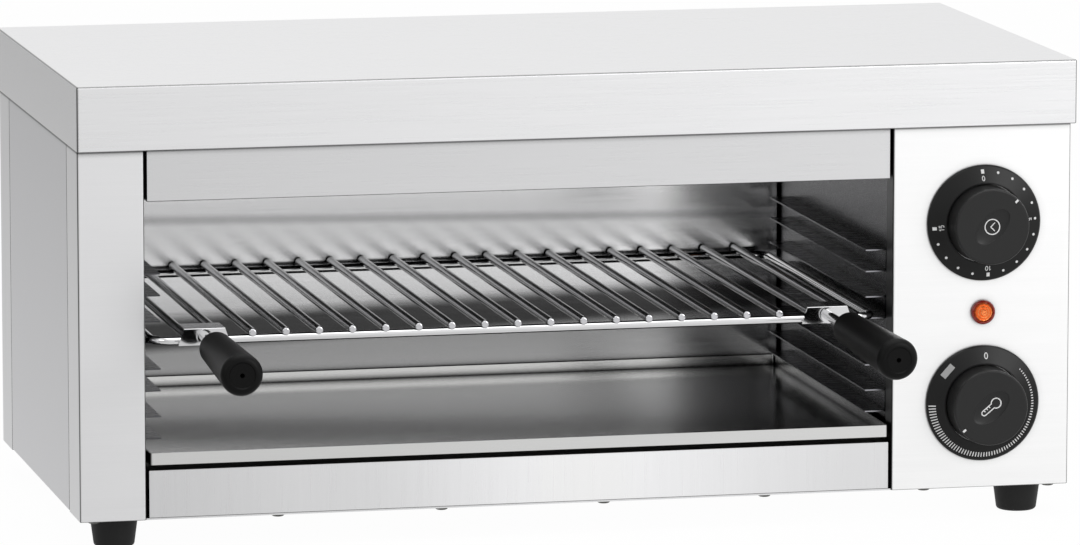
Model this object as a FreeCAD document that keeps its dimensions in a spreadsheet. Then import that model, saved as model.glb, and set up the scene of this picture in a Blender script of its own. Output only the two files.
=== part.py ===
import FreeCAD, Part
import Sketcher
import math
import os
import re

# Electric cheese melter: a sheet steel case with an open chamber at the left,
# a control compartment at the right, a wire rack with two grips and a drip tray.
# Millimetres. X runs to the viewer's right, Y to the back and Z up. The sheet and
# the outlines count Y from the cover's front face; place() moves every sub-part
# so that the frame's origin is under the middle of the whole object.

SIZES = {
    # Outer case
    "cover_width": 600.0,
    "cover_depth": 300.0,
    "cover_height": 38.3,
    "overall_height": 275.0,
    "cover_lip": 6.6,
    "cover_edge_radius": 1.4,
    "hem_radius": 0.8,
    "casing_sheet": 1.0,
    "inner_sheet": 0.8,
    "slip_gap": 0.2,
    "overrun": 2.0,
    "body_setback": 8.0,
    "stile_width": 39.3,
    "panel_width": 109.1,
    "casing_return": 37.0,
    "jamb_return": 14.0,
    "back_return": 37.0,
    "seam": 1.2,
    "tongue": 12.0,
    "tongue_step": 2.0,
    "casing_bend_radius": 1.2,
    "base_flange": 12.0,
    # Front bars between the two casing fronts
    "frame_recess": 0.8,
    "frame_gap": 1.9,
    "fascia_drop": 30.9,
    "fascia_tuck": 13.3,
    "rail_rise": 29.1,
    "floor_step": 3.1,
    # Chamber
    "chamber_back_gap": 18.8,
    "chamber_top_gap": 4.7,
    "hat_depth": 10.0,
    # Rack guides, four a side
    "guide_count": 4,
    "guide_rise": 15.8,
    "guide_pitch": 28.1,
    "guide_height": 13.6,
    "guide_depth": 12.9,
    "guide_front_y": 25.0,
    "guide_back_gap": 25.0,
    "rack_level": 2,
    # Rack
    "rack_rod_radius": 2.5,
    "rack_side_inset": 8.85,
    "rack_shift": 2.2,
    "rack_back_gap": 8.5,
    "rack_corner_radius": 12.0,
    "wire_radius": 2.5,
    "wire_weld": 1.4,
    "wire_count": 21,
    "wire_side_gap": 18.75,
    "wire_front_y": 10.3,
    "wire_back_gap": 1.5,
    "wire_end_round": 1.2,
    # Rack grips and their brackets
    "bracket_inset": 29.55,
    "bracket_width": 24.0,
    "bracket_flare": 3.5,
    "bracket_sheet": 1.2,
    "bracket_front_y": 8.8,
    "bracket_depth": 19.0,
    "stud_radius": 3.0,
    "stud_hole_gap": 0.35,
    "stud_collar_radius": 4.6,
    "stud_collar": 2.4,
    "stud_reach": 38.0,
    "grip_reach": 130.0,
    "grip_bore_depth": 22.0,
    "grip_base_radius": 9.8,
    "grip_tip_radius": 12.4,
    "grip_base_edge": 2.6,
    "grip_edge": 4.2,
    "grip_dish_radius": 7.8,
    "grip_dish": 0.6,
    "grip_pit_radius": 1.4,
    "grip_pit": 6.0,
    "left_grip_droop": 1.0,
    "left_grip_splay": 0.8,
    "right_grip_droop": 3.2,
    "right_grip_splay": 3.8,
    "fit_gap": 0.05,
    # Drip tray
    "tray_lift": 0.3,
    "tray_height": 7.0,
    "tray_side_gap": 2.1,
    "tray_front_y": 8.0,
    "tray_back_gap": 1.5,
    "tray_corner_radius": 2.0,
    # Heating
    "element_radius": 4.0,
    "element_drop": 14.0,
    "element_spread": 25.0,
    "element_left_gap": 45.5,
    "element_front_y": 75.0,
    "element_rear_gap": 65.0,
    "element_end": 23.0,
    "element_hole_gap": 0.3,
    "bush_radius": 7.0,
    "bush_length": 8.0,
    "terminal_core_radius": 2.6,
    "terminal_core": 6.0,
    "terminal_pin_radius": 1.6,
    "terminal_pin": 8.0,
    "hanger_left_gap": 60.5,
    "hanger_drop": 23.0,
    "hanger_front_y": 35.0,
    "hanger_back_gap": 25.0,
    # Controls
    "control_offset": 1.05,
    "timer_level_share": 0.731,
    "lamp_level_share": 0.4846,
    "thermostat_level_share": 0.2338,
    "timer_width": 42.0,
    "timer_height": 46.0,
    "timer_depth": 42.0,
    "thermostat_width": 38.0,
    "thermostat_depth": 28.0,
    "timer_tab_offset": 12.0,
    "thermostat_tab_offset": 8.0,
    "control_neck_radius": 4.8,
    "control_neck": 4.5,
    "control_hole_gap": 0.2,
    "shaft_radius": 3.0,
    "shaft_inside": 22.0,
    "control_nut_radius": 8.0,
    "control_nut": 2.8,
    "dial_radius": 34.7,
    "dial_edge": 1.3,
    "dial_edge_bevel": 0.8,
    "dial_height": 5.4,
    "knob_base_radius": 23.2,
    "knob_face_radius": 22.6,
    "knob_height": 20.5,
    "knob_lift": 0.4,
    "knob_gap": 0.5,
    "knob_wall": 2.2,
    "knob_hub_radius": 6.0,
    "knob_hub_start": 6.5,
    "knob_hub_roof": 6.2,
    "knob_edge_radius": 1.2,
    "knob_dish_length": 13.0,
    "knob_dish_width": 7.2,
    "knob_dish": 1.5,
    "pointer_width": 2.0,
    "pointer_length": 3.2,
    "pointer_depth": 0.5,
    "timer_pointer_angle": 44.5,
    "thermostat_pointer_angle": 231.0,
    "lens_radius": 7.35,
    "lens_edge": 2.0,
    "lens_dome_radius": 5.4,
    "lens_dome": 4.4,
    "lens_neck_radius": 4.8,
    "lens_neck": 4.0,
    "lamp_body_radius": 7.0,
    "lamp_body": 26.0,
    # Thermostat sensor and its clip
    "bulb_radius": 3.0,
    "bulb_wall_gap": 20.7,
    "bulb_leg_gap": 1.0,
    "bulb_front_gap": 5.0,
    "bulb_length": 60.0,
    "capillary_radius": 1.0,
    "capillary_bend": 6.0,
    "capillary_turn": 11.0,
    "capillary_wall_gap": 44.3,
    "capillary_rise": 10.4,
    "clip_width": 10.0,
    "clip_inset": 3.0,
    "clip_wall": 1.6,
    # Supply side
    "block_length": 50.0,
    "block_width": 20.0,
    "block_height": 18.0,
    "block_offset": 5.3,
    "block_back_gap": 58.8,
    "block_hole_radius": 2.4,
    "block_hole_depth": 9.0,
    "block_hole_pitch": 15.0,
    "block_hole_row": 5.0,
    "gland_rise": 41.4,
    "gland_bore_radius": 4.0,
    "gland_thread_radius": 7.8,
    "gland_thread": 7.0,
    "gland_flange_radius": 12.0,
    "gland_flange": 4.0,
    "gland_dome_radius": 10.0,
    "gland_dome": 5.0,
    "gland_nose_radius": 6.5,
    "gland_nose": 9.0,
    "gland_nut_radius": 11.5,
    "gland_nut": 4.0,
    "lead_radius": 1.2,
    "lead_bend": 5.0,
    "lead_clearance": 20.0,
    "lead_bundle": 35.0,
    "lead_low_y": 118.0,
    "lead_lamp_y": 80.0,
    "lead_lamp_offset": 3.5,
    "lead_lift": 9.4,
    "lead_left_offset": 17.3,
    "lead_right_offset": 6.7,
    "vent_count": 9,
    "vent_width": 3.6,
    "vent_height": 34.0,
    "vent_pitch": 9.0,
    "vent_left_offset": 38.3,
    "vent_drop": 54.7,
    # Feet and fasteners
    "foot_height": 18.6,
    "front_foot_side_inset": 25.5,
    "front_foot_inset": 34.0,
    "rear_foot_side_inset": 32.0,
    "rear_foot_inset": 40.0,
    "foot_base_radius": 11.8,
    "foot_top_radius": 14.3,
    "foot_edge_radius": 2.2,
    "foot_recess_radius": 5.6,
    "foot_recess": 10.0,
    "foot_screw_radius": 2.5,
    "foot_screw_head_radius": 4.6,
    "foot_screw_head": 3.0,
    "foot_nut_radius": 4.6,
    "foot_nut": 4.0,
    "screw_radius": 1.9,
    "screw_hole_gap": 0.1,
    "screw_head_radius": 4.0,
    "screw_head": 2.1,
    "screw_dome_share": 0.8,
    "screw_length": 6.0,
    "base_screw_y": 17.0,
    "base_screw_left_gap": 79.5,
    "base_screw_right_offset": 33.3,
    "base_screw_count": 5,
    "base_screw_corner_inset": 9.8,
    "rear_screw_inset": 48.8,
    "cover_screw_drop": 19.0,
    "rear_screw_rise": 7.4,
}

PLACES = {
    "side_x": "cover_width / 2 - casing_sheet - slip_gap",
    "front_y": "body_setback",
    "back_y": "cover_depth - casing_sheet - slip_gap",
    "floor_z": "foot_height",
    "deck_z": "floor_z + casing_sheet",
    "roof_z": "overall_height - casing_sheet - slip_gap",
    "cover_bottom_z": "overall_height - cover_height",
    "fascia_bottom_z": "cover_bottom_z - fascia_drop",
    "fascia_top_z": "cover_bottom_z + fascia_tuck",
    "rail_top_z": "floor_z + rail_rise",
    "inside_x": "side_x - casing_sheet",
    "base_x": "inside_x - slip_gap",
    "panel_back_y": "front_y + casing_sheet",
    "base_front_y": "panel_back_y + slip_gap",
    "base_back_y": "back_y - casing_sheet - slip_gap",
    "base_flange_z": "floor_z + base_flange",
    "mouth_left": "stile_width - side_x",
    "mouth_right": "side_x - panel_width",
    "chamber_left": "mouth_left - casing_sheet",
    "chamber_right": "mouth_right + casing_sheet",
    "chamber_back_y": "back_y - chamber_back_gap",
    "chamber_top_z": "cover_bottom_z - chamber_top_gap",
    "jamb_end_y": "front_y + jamb_return",
    "frame_y": "front_y + frame_recess",
    "chamber_front_y": "jamb_end_y + slip_gap",
    "chamber_end_y": "chamber_back_y + hat_depth",
    "wall_outside_x": "chamber_right + inner_sheet",
    "reflector_z": "chamber_top_z - inner_sheet",
    "guide_base_z": "rail_top_z + guide_rise",
    "guide_length": "chamber_back_y - guide_back_gap - guide_front_y",
    "rack_mid_x": "(chamber_left + chamber_right) / 2 - rack_shift",
    "rack_half": "(chamber_right - chamber_left) / 2 - rack_side_inset",
    "rack_front_y": "bracket_front_y + bracket_sheet + slip_gap + rack_rod_radius",
    "rack_back_y": "chamber_back_y - rack_back_gap",
    "rack_guide_z": "guide_base_z + rack_level * guide_pitch",
    "rod_z": "rack_guide_z + inner_sheet + slip_gap + rack_rod_radius",
    "wire_z": "rod_z + rack_rod_radius + wire_radius - wire_weld",
    "wire_pitch": "2 * (rack_half - wire_side_gap) / (wire_count - 1)",
    "wire_length": "chamber_back_y - wire_back_gap - wire_front_y",
    "bracket_offset": "rack_half - bracket_inset",
    "bracket_top_z": "wire_z + wire_radius + slip_gap + bracket_sheet",
    "bracket_foot_z": "rod_z - rack_rod_radius",
    "stud_z": "(bracket_top_z + bracket_foot_z) / 2",
    "chamber_floor_z": "rail_top_z + floor_step",
    "tray_floor_z": "chamber_floor_z + tray_lift",
    "tray_left": "mouth_left + tray_side_gap",
    "tray_right": "mouth_right - tray_side_gap",
    "tray_back_y": "chamber_back_y - tray_back_gap",
    "element_z": "chamber_top_z - element_drop",
    "element_turn_x": "chamber_left + element_left_gap",
    "element_rear_y": "chamber_back_y - element_rear_gap",
    "element_end_x": "chamber_right + element_end",
    "terminal_end_x": "element_end_x + terminal_core + terminal_pin",
    "hanger_x": "chamber_left + hanger_left_gap",
    "control_x": "side_x - panel_width / 2 + control_offset",
    "control_rise": "cover_bottom_z - floor_z",
    "timer_z": "floor_z + timer_level_share * control_rise",
    "lamp_z": "floor_z + lamp_level_share * control_rise",
    "thermostat_z": "floor_z + thermostat_level_share * control_rise",
    "bulb_x": "chamber_right - bulb_wall_gap",
    "bulb_z": "element_z - element_radius - bulb_leg_gap - bulb_radius",
    "bulb_front_y": "element_front_y + element_spread + bulb_front_gap",
    "bulb_back_y": "bulb_front_y + bulb_length",
    "capillary_turn_y": "bulb_back_y + capillary_turn",
    "capillary_x": "chamber_right + capillary_wall_gap",
    "capillary_z": "thermostat_z + capillary_rise",
    "timer_rear_y": "panel_back_y + timer_depth",
    "thermostat_rear_y": "panel_back_y + thermostat_depth",
    "lamp_rear_y": "panel_back_y + lamp_body",
    "block_x": "control_x - block_offset",
    "block_y": "back_y - block_back_gap",
    "gland_z": "floor_z + gland_rise",
    "lead_floor_z": "deck_z + lead_lift",
    "lead_left_x": "control_x - lead_left_offset",
    "lead_right_x": "control_x + lead_right_offset",
    "vent_left_x": "control_x - vent_left_offset",
    "vent_bottom_z": "cover_bottom_z - vent_drop",
    "base_screw_left_x": "mouth_left + base_screw_left_gap",
    "base_screw_right_x": "control_x - base_screw_right_offset",
    "base_screw_pitch": "(base_screw_right_x - base_screw_left_x) / (base_screw_count - 1)",
    "base_screw_corner_x": "side_x - base_screw_corner_inset",
    "rear_screw_x": "side_x - rear_screw_inset",
    "rear_screw_z": "floor_z + rear_screw_rise",
    "cover_screw_z": "overall_height - cover_screw_drop",
    "front_foot_x": "cover_width / 2 - front_foot_side_inset",
    "rear_foot_x": "cover_width / 2 - rear_foot_side_inset",
    "front_foot_y": "front_foot_inset",
    "rear_foot_y": "back_y + front_y - rear_foot_inset",
    "grip_edge_reach": "grip_reach - grip_edge",
    "grip_edge_ring": "grip_tip_radius - grip_edge",
    "left_tilt_share": "cos(left_grip_droop) * cos(left_grip_splay)",
    "right_tilt_share": "cos(right_grip_droop) * cos(right_grip_splay)",
    "left_tip": "grip_edge_reach * left_tilt_share + grip_edge_ring * sqrt(1 - left_tilt_share ^ 2)",
    "right_tip": "grip_edge_reach * right_tilt_share + grip_edge_ring * sqrt(1 - right_tilt_share ^ 2)",
    "grip_tip_y": "bracket_front_y - grip_edge - max(left_tip; right_tip)",
    "gland_end_y": "back_y + gland_flange + gland_dome + gland_nose",
    "middle_y": "(grip_tip_y + gland_end_y) / 2",
}

# Sketch plane drawn square to each axis, and the way that its normal points along it.
# Outlines are (Y, Z) pairs for x, (X, Z) pairs for y and (X, Y) pairs for z.
PLANES = {"x": ("YZ_Plane", 1), "y": ("XZ_Plane", -1), "z": ("XY_Plane", 1)}
NEAR = 1e-4
VOLUME_SLACK = 0.01

doc = FreeCAD.newDocument("CheeseMelter")
sub_parts = []


def link(text):
    """An expression with each size or place joined to the sheet that holds it."""

    def joined(found):
        word = found.group(0)
        if word in SIZES:
            return "Sizes." + word
        if word in PLACES:
            return "Places." + word
        return word

    return re.sub(r"[A-Za-z_]\w*", joined, text)


def fill_sheet(name, cells, lead):
    """Spreadsheet with a name, a value and an alias on each row."""
    sheet = doc.addObject("Spreadsheet::Sheet", name)
    for row, (alias, content) in enumerate(cells.items(), start=1):
        sheet.set(f"A{row}", alias)
        sheet.set(f"B{row}", lead + link(str(content)))
        sheet.setAlias(f"B{row}", alias)
    return sheet


size_sheet = fill_sheet("Sizes", SIZES, "")
place_sheet = fill_sheet("Places", PLACES, "=")
doc.recompute()


def value(text):
    """The number that an expression gives now."""
    return float(size_sheet.evalExpression(link(text)))


def bind(item, prop, text):
    item.setExpression(prop, link(text))


def new_sketch(body, axis, level="0"):
    """Empty sketch of a body, square to an axis at a level along it."""
    role, sign = PLANES[axis]
    plane = [feature for feature in body.Origin.OriginFeatures if feature.Role == role][0]
    sketch = body.newObject("Sketcher::SketchObject", "Sketch")
    sketch.AttachmentSupport = [(plane, "")]
    sketch.MapMode = "FlatFace"
    bind(sketch, "AttachmentOffset.Base.z", f"{sign} * ({level})")
    return sketch


def pin_point(sketch, shape, end, x, y):
    """Hold one point of a sketch at two expressions."""
    for kind, text in (("DistanceX", x), ("DistanceY", y)):
        rule = Sketcher.Constraint(kind, -1, 1, shape, end, value(text))
        number = sketch.addConstraint(rule)
        bind(sketch, f"Constraints[{number}]", text)


def draw_outline(sketch, corners):
    """Closed run of straight lines through corners given as pairs of expressions."""
    points = [FreeCAD.Vector(value(x), value(y), 0) for x, y in corners]
    first = sketch.GeometryCount
    for start, end in zip(points, points[1:] + points[:1]):
        sketch.addGeometry(Part.LineSegment(start, end))
    for index in range(len(points)):
        following = (index + 1) % len(points)
        rule = Sketcher.Constraint("Coincident", first + index, 2, first + following, 1)
        sketch.addConstraint(rule)
    for index, (x, y) in enumerate(corners):
        pin_point(sketch, first + index, 1, x, y)


def draw_circle(sketch, x, y, radius):
    centre = FreeCAD.Vector(value(x), value(y), 0)
    shape = sketch.GeometryCount
    sketch.addGeometry(Part.Circle(centre, FreeCAD.Vector(0, 0, 1), value(radius)))
    pin_point(sketch, shape, 3, x, y)
    number = sketch.addConstraint(Sketcher.Constraint("Radius", shape, value(radius)))
    bind(sketch, f"Constraints[{number}]", radius)


def rectangle(left, low, right, high):
    return [(left, low), (right, low), (right, high), (left, high)]


def draw(sketch, loops):
    """Loops are lists of corners, or (x, y, radius) for a circle."""
    for loop in loops:
        if isinstance(loop, tuple):
            draw_circle(sketch, *loop)
        else:
            draw_outline(sketch, loop)


def new_body(label):
    body = doc.addObject("PartDesign::Body", label)
    body.Label = label
    return body


def pad(body, axis, level, length, *loops):
    """Solid that starts at a level and grows along the axis."""
    sketch = new_sketch(body, axis, level)
    draw(sketch, loops)
    feature = body.newObject("PartDesign::Pad", "Pad")
    feature.Profile = sketch
    bind(feature, "Length", length)
    feature.Reversed = PLANES[axis][1] < 0
    sketch.Visibility = False
    return feature


def pocket(body, axis, level, length, *loops):
    """Cut that starts at a level and grows along the axis."""
    doc.recompute()
    before = body.Tip.Shape.Volume
    sketch = new_sketch(body, axis, level)
    draw(sketch, loops)
    feature = body.newObject("PartDesign::Pocket", "Pocket")
    feature.Profile = sketch
    bind(feature, "Length", length)
    feature.Reversed = PLANES[axis][1] > 0
    doc.recompute()
    if feature.Shape.Volume >= before:
        raise RuntimeError(f"{body.Label}: a pocket cuts nothing")
    return feature


def round_edges(body, radius, wanted):
    """Fillet on the edges of the body so far that a test picks."""
    doc.recompute()
    base = body.Tip
    edges = enumerate(base.Shape.Edges, start=1)
    names = [f"Edge{number}" for number, edge in edges if wanted(edge)]
    feature = body.newObject("PartDesign::Fillet", "Fillet")
    feature.Base = (base, names)
    bind(feature, "Radius", radius)
    return feature


def edge_at(axis, first, second):
    """Test for straight edges along an axis at two coordinates, in X, Y, Z order."""
    places = [value(first), value(second)]
    along = "xyz".index(axis)

    def wanted(edge):
        ends = [tuple(vertex.Point) for vertex in edge.Vertexes]
        if len(ends) != 2 or not isinstance(edge.Curve, Part.Line):
            return False
        for end in ends:
            across = [number for index, number in enumerate(end) if index != along]
            if max(abs(a - b) for a, b in zip(across, places)) > NEAR:
                return False
        return True

    return wanted


def any_of(*tests):
    return lambda edge: any(test(edge) for test in tests)


def ring_at(radius, height):
    """Test for the full circle of a turned piece at a radius and a height."""
    size = value(radius)
    level = value(height)

    def wanted(edge):
        if not isinstance(edge.Curve, Part.Circle):
            return False
        return abs(edge.Curve.Radius - size) < NEAR and abs(edge.Curve.Center.z - level) < NEAR

    return wanted


def turned(label, corners):
    """Solid of revolution about its own Z: corners are (radius, height) pairs."""
    body = new_body(label)
    sketch = new_sketch(body, "y")
    draw_outline(sketch, corners)
    feature = body.newObject("PartDesign::Revolution", "Revolution")
    feature.Profile = sketch
    feature.ReferenceAxis = (sketch, ["V_Axis"])
    sketch.Visibility = False
    return body


def block(name, x, y, z, length, width, height):
    item = doc.addObject("Part::Box", name)
    for prop, text in (("Length", length), ("Width", width), ("Height", height)):
        bind(item, prop, text)
    for letter, text in (("x", x), ("y", y), ("z", z)):
        bind(item, f"Placement.Base.{letter}", text)
    return item


def rod(name, x, y, z, axis, radius, length):
    """Cylinder that starts at a point and runs along an axis."""
    item = doc.addObject("Part::Cylinder", name)
    turns = {"x": "vector(0; 1; 0); 90", "y": "vector(1; 0; 0); -90", "z": "vector(0; 0; 1); 0"}
    bind(item, "Radius", radius)
    bind(item, "Height", length)
    bind(item, "Placement", f"placement(vector({x}; {y}; {z}); rotation({turns[axis]}))")
    return item


def ring(name, x, y, z, axis, radius, bore, length):
    """Cylinder with a bore through it."""
    item = doc.addObject("Part::Cut", name)
    item.Base = rod(name + "_outside", x, y, z, axis, radius, length)
    item.Tool = rod(name + "_bore", x, y, z, axis, bore, length)
    return item


def joined(name, pieces):
    item = doc.addObject("Part::MultiFuse", name)
    item.Shapes = pieces
    return item


def group(name, pieces):
    """Separate solids that share one node."""
    item = doc.addObject("Part::Compound", name)
    item.Links = pieces
    return item


def finish(item, label):
    """Keep an object as a sub-part under its own name."""
    item.Label = label
    sub_parts.append(item)
    return item


def place(item, label):
    """Sub-part drawn where it stands, counted from the cover's front face."""
    bind(item, "Placement.Base.y", "-1 * middle_y")
    return finish(item, label)


def set_turned(item, x, y, z, turn):
    """Put a turned piece's own origin at a point, with its Z turned by a rotation."""
    bind(item, "Placement", f"placement(vector({x}; {y} - middle_y; {z}); {turn})")
    return item


FACING_FRONT = "rotation(vector(1; 0; 0); 90)"
FACING_BACK = "rotation(vector(1; 0; 0); -90)"
UPRIGHT = "rotation(vector(1; 0; 0); 0)"
POINTING_DOWN = "rotation(vector(1; 0; 0); 180)"


def base_screw_places():
    """X of the screws along the front edge of the base: the row, then both corners."""
    row = range(int(SIZES["base_screw_count"]))
    places = [f"base_screw_left_x + {number} * base_screw_pitch" for number in row]
    return places + ["-1 * base_screw_corner_x", "base_screw_corner_x"]


def base_screw_holes(left, right):
    """Holes for the base screws whose X lies between two expressions."""
    inside = [x for x in base_screw_places() if value(left) < value(x) < value(right)]
    return [(x, "base_screw_y", "screw_radius + screw_hole_gap") for x in inside]


def feet_places():
    sides = (("left", "-1"), ("right", "1"))
    return [(f"{end}_{side}", f"{sign} * {end}_foot_x", f"{end}_foot_y")
            for end in ("front", "rear") for side, sign in sides]


def make_cover():
    body = new_body("top_cover")
    half = "cover_width / 2"
    inner = "cover_width / 2 - casing_sheet"
    pad(body, "z", "cover_bottom_z", "cover_height",
        rectangle(f"-1 * {half}", "0", half, "cover_depth"))
    pocket(body, "z", "cover_bottom_z + casing_sheet", "cover_height - 2 * casing_sheet",
           rectangle(f"-1 * ({inner})", "casing_sheet", inner, "cover_depth - casing_sheet"))
    pocket(body, "z", "cover_bottom_z", "casing_sheet",
           rectangle(f"-1 * ({inner})", "cover_lip", inner, "cover_depth - casing_sheet"))
    hole = "screw_radius + screw_hole_gap"
    pocket(body, "y", "cover_depth - casing_sheet", "casing_sheet",
           *[(x, "cover_screw_z", hole) for x in rear_screw_places()])
    top_edges = [edge_at("x", y, "overall_height") for y in ("0", "cover_depth")]
    top_edges += [edge_at("y", x, "overall_height") for x in (f"-1 * {half}", half)]
    corners = [edge_at("z", x, y) for x in (f"-1 * {half}", half) for y in ("0", "cover_depth")]
    round_edges(body, "cover_edge_radius", any_of(*top_edges, *corners))
    round_edges(body, "hem_radius", skirt_edge)
    place(body, "top_cover")


def skirt_edge(edge):
    """Test for the outer bottom edges of the cover's skirt, with its rounded corners."""
    box = edge.BoundBox
    if box.ZMax - value("cover_bottom_z") > NEAR:
        return False
    half = value("cover_width / 2")
    rim = value("cover_edge_radius") + NEAR
    depth = value("cover_depth")
    near_side = abs(box.XMin) > half - rim and abs(box.XMax) > half - rim
    near_end = box.YMax < rim or box.YMin > depth - rim
    outside = (box.XMin < NEAR - half or box.XMax > half - NEAR or box.YMin < NEAR
               or box.YMax > depth - NEAR)
    return outside and (near_side or near_end)


def rear_screw_places():
    return ["-1 * rear_screw_x", "0", "rear_screw_x"]


def make_casing_front(label, side, jamb_x):
    """Folded front post: outer flange, web and jamb. side is -1 at the left, 1 at the right."""
    body = new_body(label)
    outer = f"{side} * side_x"
    inner = f"{side} * inside_x"
    jamb_face = f"{jamb_x} + {side} * casing_sheet"
    end = "front_y + casing_return"
    corner = [(outer, end), (outer, "front_y"), (jamb_x, "front_y"), (jamb_x, "panel_back_y"),
              (inner, "panel_back_y"), (inner, end)]
    pad(body, "z", "floor_z", "roof_z - floor_z", corner)
    jamb = [(jamb_x, "front_y"), (jamb_x, "jamb_end_y"), (jamb_face, "jamb_end_y"),
            (jamb_face, "front_y")]
    pad(body, "z", "deck_z", "roof_z - deck_z", jamb)
    foot_outer = f"{side} * (base_x - casing_sheet - slip_gap)"
    foot_inner = f"{jamb_face} + {side} * (inner_sheet + slip_gap)"
    pad(body, "z", "deck_z", "casing_sheet",
        [(foot_outer, "front_y"), (foot_inner, "front_y"), (foot_inner, "jamb_end_y"),
         (foot_outer, "jamb_end_y")])
    ends = sorted((foot_outer, foot_inner), key=value)
    holes = base_screw_holes(*ends)
    if holes:
        pocket(body, "z", "deck_z", "casing_sheet", *holes)
    if label == "control_panel":
        neck = "control_neck_radius + control_hole_gap"
        pocket(body, "y", "front_y", "casing_sheet", ("control_x", "timer_z", neck),
               ("control_x", "thermostat_z", neck),
               ("control_x", "lamp_z", "lens_neck_radius + control_hole_gap"))
    round_edges(body, "casing_bend_radius", any_of(
        edge_at("z", outer, "front_y"), edge_at("z", jamb_x, "front_y")))
    round_edges(body, "casing_bend_radius / 2", edge_at("x", "front_y", "floor_z"))
    place(body, label)


def make_side_panel(label, side):
    body = new_body(label)
    outer = f"{side} * side_x"
    inner = f"{side} * inside_x"
    tucked = f"{side} * (inside_x - casing_sheet)"
    front = "front_y + casing_return + seam"
    rear = "back_y - back_return - seam"
    tongue_z = "base_flange_z + slip_gap"
    pad(body, "z", "deck_z", f"{tongue_z} - deck_z", rectangle(outer, front, inner, rear))
    plan = [(outer, front), (outer, rear), (inner, rear), (inner, f"{rear} + tongue"),
            (tucked, f"{rear} + tongue"), (tucked, f"{rear} - tongue_step"),
            (inner, f"{rear} - tongue_step"), (inner, f"{front} + tongue_step"),
            (tucked, f"{front} + tongue_step"), (tucked, f"{front} - tongue"),
            (inner, f"{front} - tongue"), (inner, front)]
    pad(body, "z", tongue_z, f"roof_z - ({tongue_z})", plan)
    place(body, label)


def make_back_panel():
    body = new_body("back_panel")
    end = "back_y - back_return"
    web = "back_y - casing_sheet"
    plan = [("-1 * side_x", end), ("-1 * side_x", "back_y"), ("side_x", "back_y"),
            ("side_x", end), ("inside_x", end), ("inside_x", web), ("-1 * inside_x", web),
            ("-1 * inside_x", end)]
    pad(body, "z", "floor_z", "roof_z - floor_z", plan)
    hole = "screw_radius + screw_hole_gap"
    screws = [(x, z, hole) for x in rear_screw_places() for z in ("cover_screw_z", "rear_screw_z")]
    pocket(body, "y", web, "casing_sheet", *screws,
           ("control_x", "gland_z", "gland_thread_radius + control_hole_gap"))
    slot = rectangle("vent_left_x", "vent_bottom_z", "vent_left_x + vent_width",
                     "vent_bottom_z + vent_height")
    first_slot = pocket(body, "y", web, "casing_sheet", slot)
    row = body.newObject("PartDesign::LinearPattern", "VentRow")
    row.Originals = [first_slot]
    row.Direction = (first_slot.Profile[0], ["H_Axis"])
    bind(row, "Length", "vent_pitch * (vent_count - 1)")
    bind(row, "Occurrences", "vent_count")
    body.Tip = row
    round_edges(body, "casing_bend_radius", any_of(
        edge_at("z", "-1 * side_x", "back_y"), edge_at("z", "side_x", "back_y")))
    place(body, "back_panel")


def make_base_panel():
    body = new_body("base_panel")
    pad(body, "z", "floor_z", "base_flange",
        rectangle("-1 * base_x", "base_front_y", "base_x", "base_back_y"))
    inner = "base_x - casing_sheet"
    pocket(body, "z", "deck_z", "base_flange",
           rectangle(f"-1 * ({inner})", "base_front_y - overrun", inner,
                     "base_back_y - casing_sheet"))
    for side in ("-1", "1"):
        pocket(body, "z", "deck_z", "base_flange",
               rectangle(f"{side} * ({inner} - overrun)", "base_front_y - overrun",
                         f"{side} * (base_x + overrun)", "chamber_front_y"))
    feet = [(x, y, "foot_screw_radius + screw_hole_gap") for _, x, y in feet_places()]
    pocket(body, "z", "floor_z", "casing_sheet", *feet, *base_screw_holes("-1 * base_x", "base_x"))
    hole = "screw_radius + screw_hole_gap"
    pocket(body, "y", "base_back_y - casing_sheet", "casing_sheet",
           *[(x, "rear_screw_z", hole) for x in rear_screw_places()])
    place(body, "base_panel")


def hat_plan(left, right, front, back, sheet):
    """Web set in from both ends, with flanges folded back and toes folded out to the sides."""
    web_left = f"{left} + frame_gap"
    web_right = f"{right} - frame_gap"
    toe = f"{back} - {sheet}"
    return [(left, toe), (web_left, toe), (web_left, front), (web_right, front),
            (web_right, toe), (right, toe), (right, back), (f"{web_right} - {sheet}", back),
            (f"{web_right} - {sheet}", f"{front} + {sheet}"),
            (f"{web_left} + {sheet}", f"{front} + {sheet}"),
            (f"{web_left} + {sheet}", back), (left, back)]


def make_front_bar(label, bottom, top, plates, holes):
    """Bar between the two casing fronts, with a plate folded back at each given level."""
    body = new_body(label)
    pad(body, "z", bottom, f"{top} - {bottom}",
        hat_plan("mouth_left", "mouth_right", "frame_y", "jamb_end_y", "casing_sheet"))
    web = rectangle("mouth_left + frame_gap", "frame_y", "mouth_right - frame_gap", "jamb_end_y")
    for level in plates:
        pad(body, "z", level, "casing_sheet", web)
    if holes:
        pocket(body, "z", bottom, "casing_sheet", *holes)
    levels = [z for z in (bottom, top) if z in (plates[0], f"{plates[-1]} + casing_sheet")]
    round_edges(body, "casing_bend_radius / 2",
                any_of(*[edge_at("x", "frame_y", level) for level in levels]))
    place(body, label)


def make_front_bars():
    make_front_bar("fascia", "fascia_bottom_z", "fascia_top_z", ["fascia_bottom_z"], [])
    holes = base_screw_holes("mouth_left + frame_gap", "mouth_right - frame_gap")
    make_front_bar("lower_front_rail", "deck_z", "rail_top_z",
                   ["deck_z", "rail_top_z - casing_sheet"], holes)


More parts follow.
